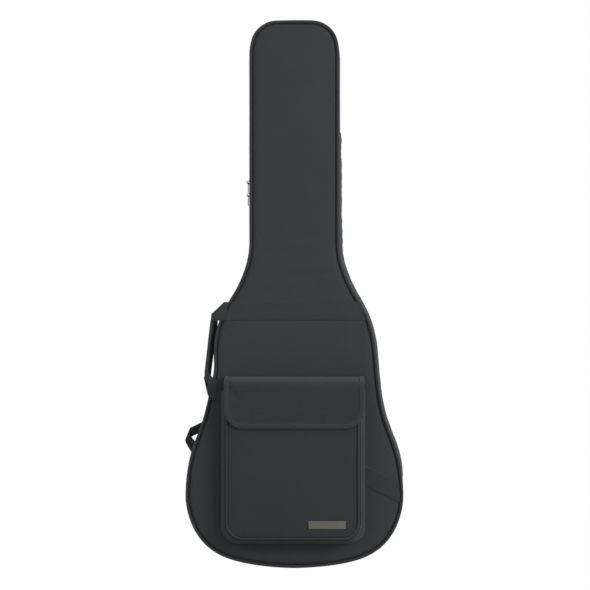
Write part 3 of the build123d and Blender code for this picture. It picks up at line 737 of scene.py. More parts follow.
def rim_shade_strip(name, face, inwards):
    """Painted shade beside a rim's cord: a dark strip on the panel and on the side wall."""
    inner = (PROUD - 2 * CORD) / MM
    # Millimetres out from the outline, and in from the panel's face.
    section = [(inner - 1.7, 1.5), (inner + 0.2, 0.9), (inner + 1.5, 1.6), (-1.6, 4.9),
               (-0.1, 5.6), (0.5, 6.2), (0.45, 8.2), (-1.5, 8.6), (-4.0, 6.5),
               (inner - 1.7, 2.6)]
    loops = [loop_at(a * MM, face + inwards * b * MM) for a, b in section]
    return ring_piece(name, loops)


# Beside each cord goes a nearly black strip: painted shade for the shadow in the seam.
front_cord = rim_cord("front_cord", low("front_piping").y + CORD)
hand_over(front_cord, "lid", cord_cloth, "front_piping")
hand_over(rim_shade_strip("front_seam_shade", FRONT, 1), "lid", seam_shade_cloth)
rear_cord = rim_cord("rear_cord", high("rear_piping").y - CORD)
hand_over(rear_cord, "shell", cord_cloth, "rear_piping")
hand_over(rim_shade_strip("rear_seam_shade", REAR, -1), "shell", seam_shade_cloth)

# %% [markdown]
# ## The slack cloth of the hinge side
#
# Where the zip ends, one strip of unpadded cloth joins the two trays and bends as the lid
# opens. It is cut too wide, so it carries on the round belly of the side walls and their
# puckers. It follows both trays, each on its own side of the zip line.

# %% Hinge cloth
hinge_part = (edge[:, 0] > 0) & (edge[:, 1] > HINGE_LOW) & (edge[:, 1] < HINGE_HIGH)


def hinge_cloth():
    """A strip as wide as the zip's two tapes, on the part of the outline without a zip."""
    rows = 13
    table = []
    stands, gathers = slack_at(loop_at(0, 0))
    for k in range(rows):
        t = k / (rows - 1)
        depth = ZIP + TAPE - 2 * TAPE * t
        arch = math.sin(math.pi * t)
        probe = loop_at(0, depth)
        waves = 0.5 * MM * ripple(probe * (1, 0.3, 1), 0.017, 6.6) * arch
        lift = stands * (0.8 + 0.2 * arch ** 0.8) + waves + puckers(probe) * gathers
        table.append(loop_at(lift + 0.3 * MM, depth)[hinge_part])
    return thick_sheet("hinge_cloth", table, 1.0 * MM)


slack = hinge_cloth()
hand_over(slack, None, plain_weave, "hinge_fabric")
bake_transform(slack)

# %% [markdown]
# ## Sweeping a section along a path
#
# Cords, bindings and webbing are all one section carried along a line. The line is a row of
# points with two directions at each: outwards, across the section's width, and up from the
# cloth. A section is a short list of places in those two directions. Rows of the grid are
# the places of the section, and columns are the points of the line.

# %% The sweep, and its most common section


def sweep(name, path, outwards, upwards, section):
    """A closed section carried along a path; it ends in flat caps or meets itself."""
    path = np.asarray(path, float)
    outwards = np.broadcast_to(outwards, path.shape)
    upwards = np.broadcast_to(upwards, path.shape)
    table = [path + outwards * a + upwards * b for a, b in [*section, section[0]]]
    return close_up(sheet_piece(name, table))


def round_section(radius, flat=1.0):
    """Section of a round cord, or of one that is pressed flatter."""
    sides = 10
    turns = [2 * math.pi * k / sides for k in range(sides)]
    return [(radius * math.cos(t), radius * flat * math.sin(t)) for t in turns]


# %% [markdown]
# ## Thread
#
# A lockstitch shows as short rounded bars in a row, one every three or four millimetres, with
# small gaps where the thread dives into the cloth. One bar is shaped from a sphere with few
# faces, and each row is made of copies of it, joined into one piece.

# %% One stitch, copies of a small shape, and rows of stitches
STITCH = 3.4 * MM
THREAD = 0.7 * MM


def small_shape(size):
    """A rounded bar of this size along x, y and z, for copying."""
    bpy.ops.object.select_all(action="DESELECT")
    bpy.ops.mesh.primitive_uv_sphere_add(segments=6, ring_count=4, radius=0.5)
    unit = bpy.context.object
    points = points_of(unit)[:, [2, 0, 1]]
    place_points(unit, np.sign(points) * (2 * np.abs(points)) ** 0.8 / 2 * size)
    return unit


def copies(name, unit, places, frames):
    """Copies of one shape at places, turned by frames (rows: its x, y and z direction)."""
    base = points_of(unit)
    faces = [list(face.vertices) for face in unit.data.polygons]
    bpy.data.objects.remove(unit)
    moved = np.einsum("pk,mkj->mpj", base, frames) + places[:, None]
    mesh = bpy.data.meshes.new(name)
    mesh.from_pydata(moved.reshape(-1, 3).tolist(), [],
                     [[corner + len(base) * m for corner in face]
                      for m in range(len(places)) for face in faces])
    piece = bpy.data.objects.new(name, mesh)
    bpy.context.scene.collection.objects.link(piece)
    point_outwards(piece)
    bpy.ops.object.shade_smooth()
    return piece


def directions(vectors):
    """The same directions, each with a length of one."""
    return vectors / np.maximum(np.linalg.norm(vectors, axis=1), 1e-9)[:, None]


def spaced(path, pitch):
    """Middles of even steps along a path, and the direction of the path in each."""
    count = max(2, int(round(np.linalg.norm(np.diff(path, axis=0), axis=1).sum() / pitch)))
    ends = even(path, count + 1)
    return (ends[1:] + ends[:-1]) / 2, directions(np.diff(ends, axis=0))


def sewn(name, body, paths, up=(0, -1, 0)):
    """Rows of stitches along several paths, as one piece that rides on a body."""
    places, frames = [], []
    for path in paths:
        middle, run = spaced(np.asarray(path, float), STITCH)
        side = directions(np.cross(np.broadcast_to(up, run.shape), run))
        places.append(middle)
        frames.append(np.stack([run, side, np.cross(run, side)], 1))
    unit = small_shape((STITCH * 0.8, THREAD, THREAD * 0.7))
    piece = copies(name, unit, np.concatenate(places), np.concatenate(frames))
    hand_over(piece, body, thread)


# %% [markdown]
# Sewing thread is twisted polyester, a little glossier than the cloth. The twist is drawn
# as fine slanting bands.

# %% Thread


def twisted_thread():
    """The finish of sewing thread."""
    made, tree, shader = new_material("twisted_polyester_thread", "smooth_polyester")
    place = add(tree, "ShaderNodeTexCoord").outputs["Object"]
    twist = add(tree, "ShaderNodeTexWave", {"Vector": place, "Scale": bands(0.5 * MM)},
                bands_direction="DIAGONAL").outputs["Fac"]
    bump = add(tree, "ShaderNodeBump", {"Height": twist, "Distance": 0.00008,
                                        "Strength": 0.6}).outputs["Normal"]
    tree.links.new(bump, shader.inputs["Normal"])
    tone = add(tree, "ShaderNodeMapRange", {"Value": twist, "To Min": 0.85,
                                            "To Max": 1.1}).outputs["Result"]
    dye = add(tree, "ShaderNodeVectorMath", {0: linear("#3c3d42")[:3], "Scale": tone},
              operation="SCALE").outputs["Vector"]
    tree.links.new(dye, shader.inputs["Base Color"])
    shader.inputs["Roughness"].default_value = 0.6
    return made


thread = twisted_thread()

# %% [markdown]
# ## The zip
#
# A long coil zip runs from the neck's right side over the head, down the left and around
# the bottom. Each half is a woven tape with a row of nylon loops on its edge. The loops of
# the two rows stand half a step apart and meet at the zip line, as closed teeth do. Each loop
# is a rounded bar across the row; there are about a thousand on each side.

# %% Path of the zip, its tapes and its two rows of loops
TOOTH_STEP = 2.2 * MM
LOOP_WIDE, LOOP_THICK = 4.4 * MM, 3.2 * MM
after_hinge = np.nonzero(hinge_part)[0].max() + 1
zip_points = np.roll(np.arange(AROUND), -after_hinge)[:AROUND - hinge_part.sum()]


def zip_tape(name, node, body):
    """Woven tape between the side wall and the row of loops."""
    table = []
    for depth in np.linspace(low(node).y, high(node).y, 6):
        probe = loop_at(0, depth)
        table.append(loop_at(-0.5 * MM + 0.3 * MM * ripple(probe, 0.03, 4.4), depth)[zip_points])
    hand_over(thick_sheet(name, table, 1.0 * MM), body, tape_cloth, node)


def loop_row(name, node, body, side, shift):
    """One row of nylon loops; side is +1 for the shell's, and shift is in points."""
    outwards = high(node).z - high("front_side_cover").z - LOOP_THICK / 2
    path = loop_at(outwards, ZIP + side * LOOP_WIDE / 2)[zip_points]
    path = path + np.diff(path, axis=0, append=path[-1:]) * shift
    places, run = spaced(path, TOOTH_STEP)
    across = np.broadcast_to((0.0, 1.0, 0.0), run.shape)
    frames = np.stack([run, across, np.cross(run, across)], 1)
    unit = small_shape((TOOTH_STEP * 0.72, LOOP_WIDE, LOOP_THICK))
    hand_over(copies(name, unit, places, frames), body, nylon, node)


POINT_STEP = edge_length / AROUND
zip_tape("shell_tape", "shell_zip_tape", "shell")
zip_tape("lid_tape", "lid_zip_tape", "lid")
loop_row("shell_loops", "shell_zip_chain", "shell", 1, 0.0)
loop_row("lid_loops", "lid_zip_chain", "lid", -1, TOOTH_STEP / 2 / POINT_STEP)
print("each row has about", int(len(zip_points) * POINT_STEP / TOOTH_STEP), "loops")

# %% [markdown]
# The tape is sewn under the edge of the side wall. That seam shows as one row of stitches
# beside the zip, on the shell's side.

# %% Seam beside the zip
sewn("shell_zip_seam", "shell", [loop_at(1.2 * MM, ZIP + TAPE + 2.5 * MM)[zip_points]],
     up=(0.0, 1.0, 0.0))

# %% [markdown]
# ## Flat bands of webbing
#
# Webbing is woven in narrow ribs and sewn flat onto the panel. A band's ends are cut where
# the frame's node ends: on a slant at the handle, and along the curved cord at the seam. So
# each row across the band gets its own start and end, read from that node's corners. The
# band lies on the relief of the cloth below it, a little proud of it, and passes straight
# over its small dips, as a taut band does.

# %% Bands on the front and the back
WEB = high("upper_band").z - low("upper_band").z
WEB_THICK = high("upper_band").y - low("upper_band").y
BAND_POINTS = 140
BAND_PROUD = 0.4 * MM
swing = joint("front_handle_swing")
LEG = swing["pos_m"][1]


def lying_on(pieces, way):
    """Function that gives the depth of the topmost of these pieces at points, seen along y.

    Way is -1 for the front and +1 for the back. Between its high spots a taut band doesn't
    touch the cloth, so the depths along a row of points are bridged and smoothed.
    """
    trees = []
    for piece in pieces:
        corners = [v.co for v in piece.data.vertices]
        faces = [tuple(face.vertices) for face in piece.data.polygons]
        trees.append(bvhtree.BVHTree.FromPolygons(corners, faces))

    def depth(points):
        tops = []
        for p in points:
            start, ray = Vector((p[0], way, p[2])), Vector((0, -way, 0))
            hits = [tree.ray_cast(start, ray)[0] for tree in trees]
            tops.append(max([way * hit.y for hit in hits if hit] or [np.nan]))
        tops = np.array(tops)
        known = ~np.isnan(tops)
        tops = np.interp(np.arange(len(tops)), np.nonzero(known)[0], tops[known])
        reach = 3  # points on each side, about 6 mm
        padded = np.pad(tops, reach, mode="edge")
        tops = np.max([padded[k:k + len(tops)] for k in range(2 * reach + 1)], 0)
        for _ in range(6):
            padded = np.pad(tops, 1, mode="edge")
            tops = (padded[:-2] + 2 * tops + padded[2:]) / 4
        return way * tops

    return depth


def flat_band(name, node, body, slope, surface, up, meets_handle=False, lean=0.0):
    """Webbing along a direction in the panel.

    Lean lifts its start, where the handle pulls, and lets the rest sag by as much or more.
    """
    run = np.array([math.cos(slope), -math.sin(slope)])
    over = np.array([math.sin(slope), math.cos(slope)])
    corners = corners_of(node)[:, [0, 2]]
    t, w = corners @ run, corners @ over
    middle = (w.max() + w.min()) / 2
    starts = t < (t.min() + t.max()) / 2
    table = []
    for across in np.linspace(w.min(), w.max(), 15):
        limits = []
        for part in (starts, ~starts):
            order = np.argsort(w[part])
            limits.append(np.interp(across, w[part][order], t[part][order]))
        # The webbing runs on a little past both ends of its node, into the seams there.
        start, end = limits[0] - 1.5 * MM, limits[1] + 2.5 * MM
        steps = np.linspace(start, end, BAND_POINTS)
        flat = steps[:, None] * run + across * over
        points = xyz(flat[:, 0], 0.0, flat[:, 1])
        share = np.linspace(0, 1, BAND_POINTS)
        points[:, 2] += lean * (1 - share) ** 3
        sag = ease(share, 0.2, 0.6) * (1 + 0.5 * np.minimum(1, (1 - share) / 0.3))
        points[:, 2] -= lean * sag
        edge_sink = 0.3 * MM * ease(abs(across - middle), WEB * 0.40, WEB * 0.5)
        points[:, 1] = surface(points) + up * (BAND_PROUD - edge_sink)
        if meets_handle:
            near = 1 - ease(steps - start, 3 * MM, 16 * MM)
            points[:, 1] += (LEG - WEB_THICK / 2 - points[:, 1]) * near
        table.append(points)
    hand_over(thick_sheet(name, table, WEB_THICK, up), body, webbing_cloth, node)
    inset = [table[k] + (0, up * 0.2 * MM, 0) for k in (1, -2)]
    sewn(name + "_seam", body, inset, up=(0, up, 0))


CROSS_SLOPE = math.radians(27)
LEAN = 8.0 * MM
on_front = lying_on([front_pad, front_cord], -1)
on_back = lying_on([back_pad, rear_cord], 1)
flat_band("front_upper_webbing", "upper_band", "lid", 0.0, on_front, -1, True)
flat_band("front_cross_webbing", "cross_band", "lid", CROSS_SLOPE, on_front, -1, True, LEAN)
flat_band("rear_upper_webbing", "rear_upper_band", "shell", 0.0, on_back, 1)
flat_band("rear_lower_webbing", "rear_lower_band", "shell", 0.0, on_back, 1)

# %% [markdown]
# ## The carrying handle
#
# The front bands run on past the cord and become one loop of webbing. Each end is folded
# over on a slant, crisp as ironed cloth, and the strip between the two folds is twisted
# until it stands nearly edge on. So the handle is made of two flat legs, drawn by their
# upper and lower edges with straight lines, and a strip between two smooth lines.

# %% Legs and grip of the handle


def curve_through(points):
    """A smooth line through points: a Catmull-Rom spline."""
    points = np.asarray(points, float)
    ends = np.vstack([2 * points[0] - points[1], points, 2 * points[-1] - points[-2]])
    line = []
    for k in range(1, len(ends) - 2):
        a, b, c, d = ends[k - 1:k + 3]
        for t in np.linspace(0, 1, 24, endpoint=False):
            line.append(b + (c - a) * t / 2 + (2 * a - 5 * b + 4 * c - d) * t ** 2 / 2
                        + (3 * b - a - 3 * c + d) * t ** 3 / 2)
    return np.array(line + [points[-1]])


def webbing_edge(depth, points):
    """A smooth edge of webbing; the points' second numbers are millimetres behind a depth."""
    return curve_through([(x, depth + behind * MM, z) for x, behind, z in points])


def between(points, steps=14):
    """The same number of steps on each straight part of a line."""
    points = np.asarray(points, float)
    parts = [np.linspace(a, b, steps, endpoint=False) for a, b in zip(points, points[1:])]
    return np.vstack(parts + [points[-1:]])


swing_foot = Vector(swing["pos_m"])
swing_way = Vector(swing["axis"]).normalized()
web_top, web_low = high("upper_band").z, low("upper_band").z


def on_swing(z, beside=0.0, sunk=0.0):
    """Point beside the handle's swing line at a height, as x, y and z."""
    place = swing_foot + swing_way * ((z - swing_foot.z) / swing_way.z)
    return (place.x + beside, LEG + sunk, z)


def ribbon(name, first, second, thick, columns=14):
    """Webbing between two lines of edge points."""
    table = [first + (second - first) * t for t in np.linspace(0, 1, columns)]
    return thick_sheet(name, table, thick)


def folded_leg(name, above, below):
    """One flat end of the handle: its start lies a little under the end of the band."""
    lines = []
    for line in (above, below):
        start = [on_swing(line[0], 2.5 * MM, 0.5 * MM), on_swing(line[0], 0.8 * MM, 0.12 * MM),
                 on_swing(line[0], -1.5 * MM, 0.06 * MM)]
        lines.append(between(start + [(x, LEG, z) for x, z in line[1:]]))
    hand_over(ribbon(name, *lines, WEB_THICK), "front_handle", webbing_cloth)


CROSS_TOP, CROSS_LOW = 0.3735 + LEAN, 0.3315 + LEAN  # edges of the band at the swing line
folded_leg("handle_upper_leg",
           [web_top, (-0.1425, web_top), (-0.1555, 0.5265), (-0.1688, 0.5140)],
           [web_low, (-0.1530, web_low), (-0.1610, web_low), (-0.1690, web_low + 0.5 * MM)])
folded_leg("handle_lower_leg",
           [CROSS_TOP, (-0.1680, 0.3880), (-0.1778, 0.3967), (-0.1836, 0.3860),
            (-0.1772, 0.3745)],
           [CROSS_LOW, (-0.1695, 0.3429), (-0.1735, 0.3462), (-0.1755, 0.3502),
            (-0.1758, 0.3580)])
near_edge = webbing_edge(LEG, [
    (-0.1655, 1.4, 0.5125), (-0.1684, 1.5, 0.5060), (-0.1697, 1.6, 0.4990),
    (-0.1709, 1.6, 0.4900), (-0.1743, 1.6, 0.4610), (-0.1780, 1.6, 0.4280),
    (-0.1806, 1.6, 0.4060), (-0.1816, 1.5, 0.3960), (-0.1812, 1.4, 0.3860),
    (-0.1795, 1.4, 0.3760)])
far_edge = webbing_edge(LEG, [
    (-0.1555, 3.0, 0.5085), (-0.1560, 9.0, 0.5035), (-0.1570, 21.0, 0.4970),
    (-0.1588, 32.0, 0.4880), (-0.1634, 36.0, 0.4600), (-0.1672, 36.0, 0.4270),
    (-0.1698, 34.0, 0.4060), (-0.1708, 25.0, 0.3920), (-0.1702, 11.0, 0.3820),
    (-0.1690, 3.0, 0.3740)])
grip = ribbon("handle_grip", near_edge, far_edge, WEB_THICK)
hand_over(grip, "front_handle", webbing_cloth, "front_handle")

# %% [markdown]
# ## The pocket
#
# The pocket is a box of cloth on the front. Its gusset is one long strip, sewn to the panel
# at its outer edge and to the cord at its inner one, down one side, around the foot and up
# the other. Nothing fills it, so it bellies outwards and hangs a little at the foot.

# %% Path down one side, around the foot and up the other


def u_path(left, right, foot, top, radius, count):
    """Even points of a U with round corners, seen from the front, and outward directions."""
    turns = np.linspace(0, math.pi / 2, 24)
    first = np.stack([left + radius - radius * np.cos(turns),
                      foot + radius - radius * np.sin(turns)], 1)
    second = np.stack([right - radius + radius * np.sin(turns),
                       foot + radius - radius * np.cos(turns)], 1)
    flat = even(np.vstack([[(left, top)], first, second, [(right, top)]]), count)
    run = directions(np.gradient(flat, axis=0))
    return xyz(flat[:, 0], 0.0, flat[:, 1]), xyz(run[:, 1], 0.0, -run[:, 0])


BASE_LOW, BASE_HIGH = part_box("pocket_walls")
RIM_LOW, RIM_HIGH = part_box("pocket_piping")
POCKET_CORD = 2.5 * MM
CORNER = 32.0 * MM
MOUTH = BASE_HIGH.z
POCKET_FACE = low("pocket_panel").y
U_POINTS = 300
face_box = (RIM_LOW.x + POCKET_CORD, RIM_HIGH.x - POCKET_CORD, RIM_LOW.z + POCKET_CORD, MOUTH)
base_path, base_out = u_path(BASE_LOW.x, BASE_HIGH.x, BASE_LOW.z, MOUTH, CORNER, U_POINTS)
rim_path, rim_out = u_path(*face_box, CORNER, U_POINTS)

# %% Gusset
gusset_rows = []
seat = front_y(base_path) - 0.3 * MM
foot_share = ease(-base_out[:, 2], 0.3, 0.9)
for t in np.linspace(0, 1, 14):
    line = base_path * (1 - t) + rim_path * t
    line[:, 1] = seat * (1 - t) + (POCKET_FACE + 4.0 * MM) * t
    belly = (2.4 * foot_share - 0.8) * MM * math.sin(math.pi * t)
    creases = ripple(line * (1, 0.4, 1), 0.035, 7.7) * 1.3 * MM * math.sin(math.pi * t)
    gusset_rows.append(line + base_out * (belly + creases)[:, None])
gusset = thick_sheet("pocket_gusset", gusset_rows, 1.6 * MM)
hand_over(gusset, "lid", shaded_pocket_weave, "pocket_walls")

# %% [markdown]
# ## Tongues of cloth with round lower corners
#
# The pocket's face and its flap are both straight at the top and round at the two lower
# corners. A grid does for both: its rows get narrower where the corners begin, by the arc
# that a compass would draw.

# %% Rows that narrow along round corners
ARC_ROWS = 18


def tongue(left, right, foot, top, radius, columns, rows):
    """Table of x and z for a sheet with a straight top and round lower corners."""
    turns = np.linspace(math.pi / 2, 0, ARC_ROWS)
    heights = np.concatenate([foot + radius - radius * np.sin(turns),
                              np.linspace(foot + radius, top, rows)[1:]])
    narrow = np.concatenate([radius - radius * np.cos(turns), np.zeros(rows - 1)])
    middle, half = (left + right) / 2, (right - left) / 2
    share = np.linspace(-1, 1, columns)
    x = middle + share[None, :] * (half - narrow)[:, None]
    return np.stack([x, np.broadcast_to(heights[:, None], x.shape)], 2)


def pillow(table, left, right, foot, top, reach):
    """0 at the border of a tongue and 1 well inside it."""
    gap = np.minimum(np.minimum(table[..., 0] - left, right - table[..., 0]),
                     np.minimum(table[..., 1] - foot, top - table[..., 1]))
    return 1 - np.exp(-np.maximum(gap, 0) / reach)


def depth_on(table, x, z):
    """Depth of a sheet near a place on it, from its table of points."""
    gap = (table[..., 0] - x) ** 2 + (table[..., 2] - z) ** 2
    return table[..., 1].ravel()[gap.argmin()]


# %% [markdown]
# The pocket's face is thin foam in cloth. It is fullest in the middle, and soft folds run over
# it, which die away towards the sewn border.

# %% Pocket face
flat = tongue(*face_box, CORNER, columns=90, rows=80)
probe = xyz(flat[..., 0], 0.0, flat[..., 1]).reshape(-1, 3)
rise = pillow(flat, *face_box, 0.03) * 3.0 * MM
folds = (1.3 * ripple(probe, 0.09, 3.3) + 0.5 * ripple(probe * (1, 1, 2), 0.04, 9.1)) * MM
folds = folds.reshape(rise.shape) * pillow(flat, *face_box, 0.02)
face_table = xyz(flat[..., 0], POCKET_FACE + 1.4 * MM - rise - folds, flat[..., 1])
face = sheet_piece("pocket_face", face_table)
lay_cloth(face, face_table[..., 0].ravel(), face_table[..., 2].ravel())
modify(face, "SOLIDIFY", thickness=3.0 * MM, offset=-1)
hand_over(point_outwards(face), "lid", shaded_pocket_weave, "pocket_panel")

# %% [markdown]
# The flap is held shut by hook and loop tape. The loop half is a stiff patch sewn on the
# pocket's face: it takes the large folds of that face, and its own stiffness evens out the
# small ones, so its inner points are averaged a few times.

# %% Loop tape on the pocket's face
LOOP_LOW, LOOP_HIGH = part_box("pocket_loop_tape")
patch = np.array([[(x, depth_on(face_table, x, z) - 0.9 * MM, z)
                   for x in np.linspace(LOOP_LOW.x, LOOP_HIGH.x, 50)]
                  for z in np.linspace(LOOP_LOW.z, LOOP_HIGH.z, 16)])
for _ in range(8):
    patch[1:-1, 1:-1, 1] = (patch[:-2, 1:-1, 1] + patch[2:, 1:-1, 1] + patch[1:-1, :-2, 1]
                            + patch[1:-1, 2:, 1]) / 4
loop_tape = thick_sheet("loop_tape", patch, 1.6 * MM, -1)
hand_over(loop_tape, "lid", hook_tape, "pocket_loop_tape")

# %% [markdown]
# A thinner cord runs around the pocket's face, with its own dark strip of painted shade. The
# mouth is an open edge, so it is bound: a strip of smooth cloth is folded over it and sewn
# through.

# %% Cord around the pocket's face, and the bound mouth
rim_line = rim_path.copy()
rim_line[:, 1] = RIM_LOW.y + POCKET_CORD
wobble = 0.25 * MM * ripple(rim_line, 0.04, 5.5)
rim_line += rim_out * wobble[:, None]
pocket_cord = sweep("pocket_cord", rim_line, rim_out, (0, -1, 0), round_section(POCKET_CORD))
hand_over(pocket_cord, "lid", cord_cloth, "pocket_piping")
# Millimetres outwards from the cord's middle line, and in front of it.
beside = [(-4.2, 0.9), (-2.0, 1.0), (2.0, 0.2), (4.0, -0.8), (4.4, -2.6), (1.0, -2.4),
          (-4.2, -0.4)]
# The strip beside the cord is nearly black: painted shade for the seam's groove.
pocket_shade_strip = sweep("pocket_seam_shade", rim_line, rim_out, (0, -1, 0),
                    [(a * MM, b * MM) for a, b in beside])
hand_over(pocket_shade_strip, "lid", seam_shade_cloth)

mouth_low, mouth_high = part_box("pocket_binding")
mouth = xyz(np.linspace(mouth_low.x, mouth_high.x, 80), mouth_low.y + 0.6 * MM, MOUTH)
band = mouth_high.y - mouth_low.y
# Places above the mouth's edge and in front of it: over the edge, and down both its sides.
hem = [(0.8 * MM, -0.5 * MM), (0.8 * MM, -band + 1 * MM), (-10 * MM, -band + 0.6 * MM),
       (-10 * MM, -band + 1.4 * MM), (-0.6 * MM, -band + 2.2 * MM), (-0.6 * MM, -1.6 * MM),
       (-10 * MM, -0.6 * MM), (-10 * MM, 0.3 * MM)]
mouth_hem = sweep("pocket_mouth_binding", mouth, (0, 0, 1), (0, -1, 0), hem)
hand_over(mouth_hem, "lid", cord_cloth, "pocket_binding")
sewn("pocket_mouth_seam", "lid", [mouth + (0, -0.4 * MM, -8 * MM)])

# %% [markdown]
# ## The flap
#
# The flap hangs from its seam on the panel, goes over the pocket's mouth and down its face.
# Its profile is a short smooth curve, and its front part a tongue that isn't quite even.

# %% Flap: its profile, its sheet and its border
EDGE_LOW, EDGE_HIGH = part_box("flap_binding")
FLAP_R = 40.0 * MM
FLAP_FRONT = EDGE_LOW.y + 0.6 * MM
FLAP_FOOT = EDGE_LOW.z
root_y, root_z = joint("flap_hinge")["pos_m"][1:]
bend = [(root_y, root_z + 1.5 * MM), (root_y - 10 * MM, root_z + 0.4 * MM),
        (FLAP_FRONT + 12 * MM, root_z - 4.4 * MM), (FLAP_FRONT + 4 * MM, root_z - 7.6 * MM),
        (FLAP_FRONT + 0.6 * MM, root_z - 12.5 * MM), (FLAP_FRONT, root_z - 20 * MM)]
bend = even(curve_through(bend), 26)
CREASE_X, CREASE_Z = -0.140, 0.3746  # the sewn corner that a crease runs down from


def flap_wave(x, z):
    """Soft unevenness of the flap's front, none at its root, and one crease from a corner."""
    spots = xyz(np.ravel(x), 0.0, np.ravel(z))
    wave = 1.0 * MM * ripple(spots, 0.08, 2.9) + 0.4 * MM * ripple(spots, 0.03, 6.1)
    hang = ease(root_z - np.ravel(z), 0.012, 0.05)
    across = (x - CREASE_X) * 0.77 + (z - CREASE_Z) * 0.64
    down = (x - CREASE_X) * 0.64 - (z - CREASE_Z) * 0.77
    pulled = 2.6 * MM * np.exp(-(across / 0.007) ** 2) * ease(down, 0, 0.01)
    pulled *= 1 - ease(down, 0.03, 0.06)
    return (wave * hang).reshape(np.shape(x)) - pulled


flap_flat = tongue(EDGE_LOW.x, EDGE_HIGH.x, FLAP_FOOT, bend[-1, 1], FLAP_R, columns=110,
                   rows=26)
x, z = flap_flat[..., 0], flap_flat[..., 1]
flap_rise = pillow(flap_flat, EDGE_LOW.x, EDGE_HIGH.x, FLAP_FOOT, root_z + 0.1, 0.02)
front_part = xyz(x, FLAP_FRONT - 1.2 * MM * flap_rise - flap_wave(x, z), z)
top_part = [xyz(x[-1], y, h) for y, h in bend[-2::-1]]
for k, row in enumerate(top_part):
    row[:, 1] += (front_part[-1][:, 1] - FLAP_FRONT) * (1 - ease(k, 0, 12))
flap_table = np.concatenate([front_part, np.array(top_part)])
flap = thick_sheet("flap_cloth", flap_table, 2.4 * MM, -1)
hand_over(flap, "pocket_flap", shaded_pocket_weave, "flap_panel")

# %% [markdown]
# Both sides of the flap and its foot are bound with a folded strip of smoother cloth, which
# stands a little proud and is sewn down along its inner edge. It is swept along the flap's own
# border: down the left side, along the foot and up the right side.

# %% Binding around the flap
BORDER_POINTS = 420
border = np.concatenate([flap_table[:0:-1, 0], flap_table[0], flap_table[1:, -1]])
border = even(border, BORDER_POINTS)
run = directions(np.gradient(border, axis=0))
flap_middle = (EDGE_LOW.x + EDGE_HIGH.x) / 2
at_side = ease(border[:, 2], FLAP_FOOT + FLAP_R - 1 * MM, FLAP_FOOT + FLAP_R + 1 * MM)
sideways = xyz(np.sign(border[:, 0] - flap_middle), 0.0, 0.0)
around_corner = directions(xyz(run[:, 2], 0.0, -run[:, 0]))
flap_out = sideways * at_side[:, None] + around_corner * (1 - at_side)[:, None]
flap_up = directions(np.cross(run, flap_out))
if flap_up[BORDER_POINTS // 2, 1] > 0:
    flap_up = -flap_up
# Places beside the flap's border, and above its cloth; the last ones lie behind it.
folded = [(0.7 * MM, -1.2 * MM), (0.5 * MM, 0.5 * MM), (-1.5 * MM, 1.0 * MM),
          (-8.6 * MM, 1.0 * MM), (-9.9 * MM, 0.5 * MM), (-9.9 * MM, -1.0 * MM),
          (-9.9 * MM, -2.9 * MM), (-1.5 * MM, -3.2 * MM), (0.5 * MM, -2.8 * MM)]
flap_edge = sweep("flap_edge_binding", border, flap_out, flap_up, folded)
hand_over(flap_edge, "pocket_flap", cord_cloth, "flap_binding")
sewn("flap_edge_seam", "pocket_flap", [border - flap_out * 8.0 * MM + flap_up * 1.1 * MM],
     up=(0, -1, 0.02))

# %% [markdown]
# The hook tape behind the flap is sewn on, and its seam shows on the front as a rectangle.

# %% The stitched rectangle that holds the hook tape
HOOK_LOW, HOOK_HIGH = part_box("flap_hook_tape")
corners = [(HOOK_LOW.x, HOOK_LOW.z), (HOOK_HIGH.x, HOOK_LOW.z), (HOOK_HIGH.x, HOOK_HIGH.z),
           (HOOK_LOW.x, HOOK_HIGH.z), (HOOK_LOW.x, HOOK_LOW.z)]
hook_line = even(corners, 160)
hook_path = np.array([(a, depth_on(front_part, a, b) - 0.1 * MM, b) for a, b in hook_line])
sewn("hook_tape_seam", "pocket_flap", [hook_path])

# %% [markdown]
# ## The blank label
#
# A small satin label is sewn on near the pocket's lower right corner. It is left plain, with
# a raised woven border.

# %% Label
LABEL_LOW, LABEL_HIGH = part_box("blank_label")
across = np.linspace(LABEL_LOW.x, LABEL_HIGH.x, 76)
heights = np.linspace(LABEL_LOW.z, LABEL_HIGH.z, 20)
label_table = []
for h in heights:
    row = xyz(across, 0.0, h)
    gap = np.minimum(np.minimum(across - across[0], across[-1] - across),
                     min(h - heights[0], heights[-1] - h))
    row[:, 1] = [depth_on(face_table, a, h) for a in across]
    row[:, 1] += -0.6 * MM - 0.25 * MM * np.exp(-((gap - 1.2 * MM) / (0.5 * MM)) ** 2)
    label_table.append(row)
label = thick_sheet("blank_label_cloth", label_table, 0.7 * MM, -1)
modify(label, "SMOOTH", factor=0.3, iterations=1)
hand_over(label, "lid", label_weave, "blank_label")

# %% [markdown]
# ## Soft pieces on the back
#
# The yoke, the loops and the strap's webbing are cut from thick cloth. The frame has their
# outlines; a copy of each node is merged, remeshed finely and smoothed, which rounds its cut
# edges the way folded and sewn cloth is. The cloth's map is laid along the piece.

# %% Softened copies of nodes


def soft_copy(name, node, body, material, voxel, along, rounds=3):
    """A remeshed, softened copy of a node; along is the direction its threads run in."""
    piece = frame["nodes"][node].copy()
    piece.data = piece.data.copy()
    piece.name = name
    bpy.context.scene.collection.objects.link(piece)
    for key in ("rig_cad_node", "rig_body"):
        if key in piece:
            del piece[key]
    piece.parent = None
    close_up(piece)
    modify(piece, "REMESH", mode="VOXEL", voxel_size=voxel)
    modify(piece, "SMOOTH", factor=0.5, iterations=rounds)
    along = Vector(along).normalized()
    side = Vector((along.z, 0, -along.x))
    points = points_of(piece)
    lay_cloth(piece, points @ along, points @ side)
    bpy.ops.object.shade_smooth()
    return hand_over(piece, body, material, node)


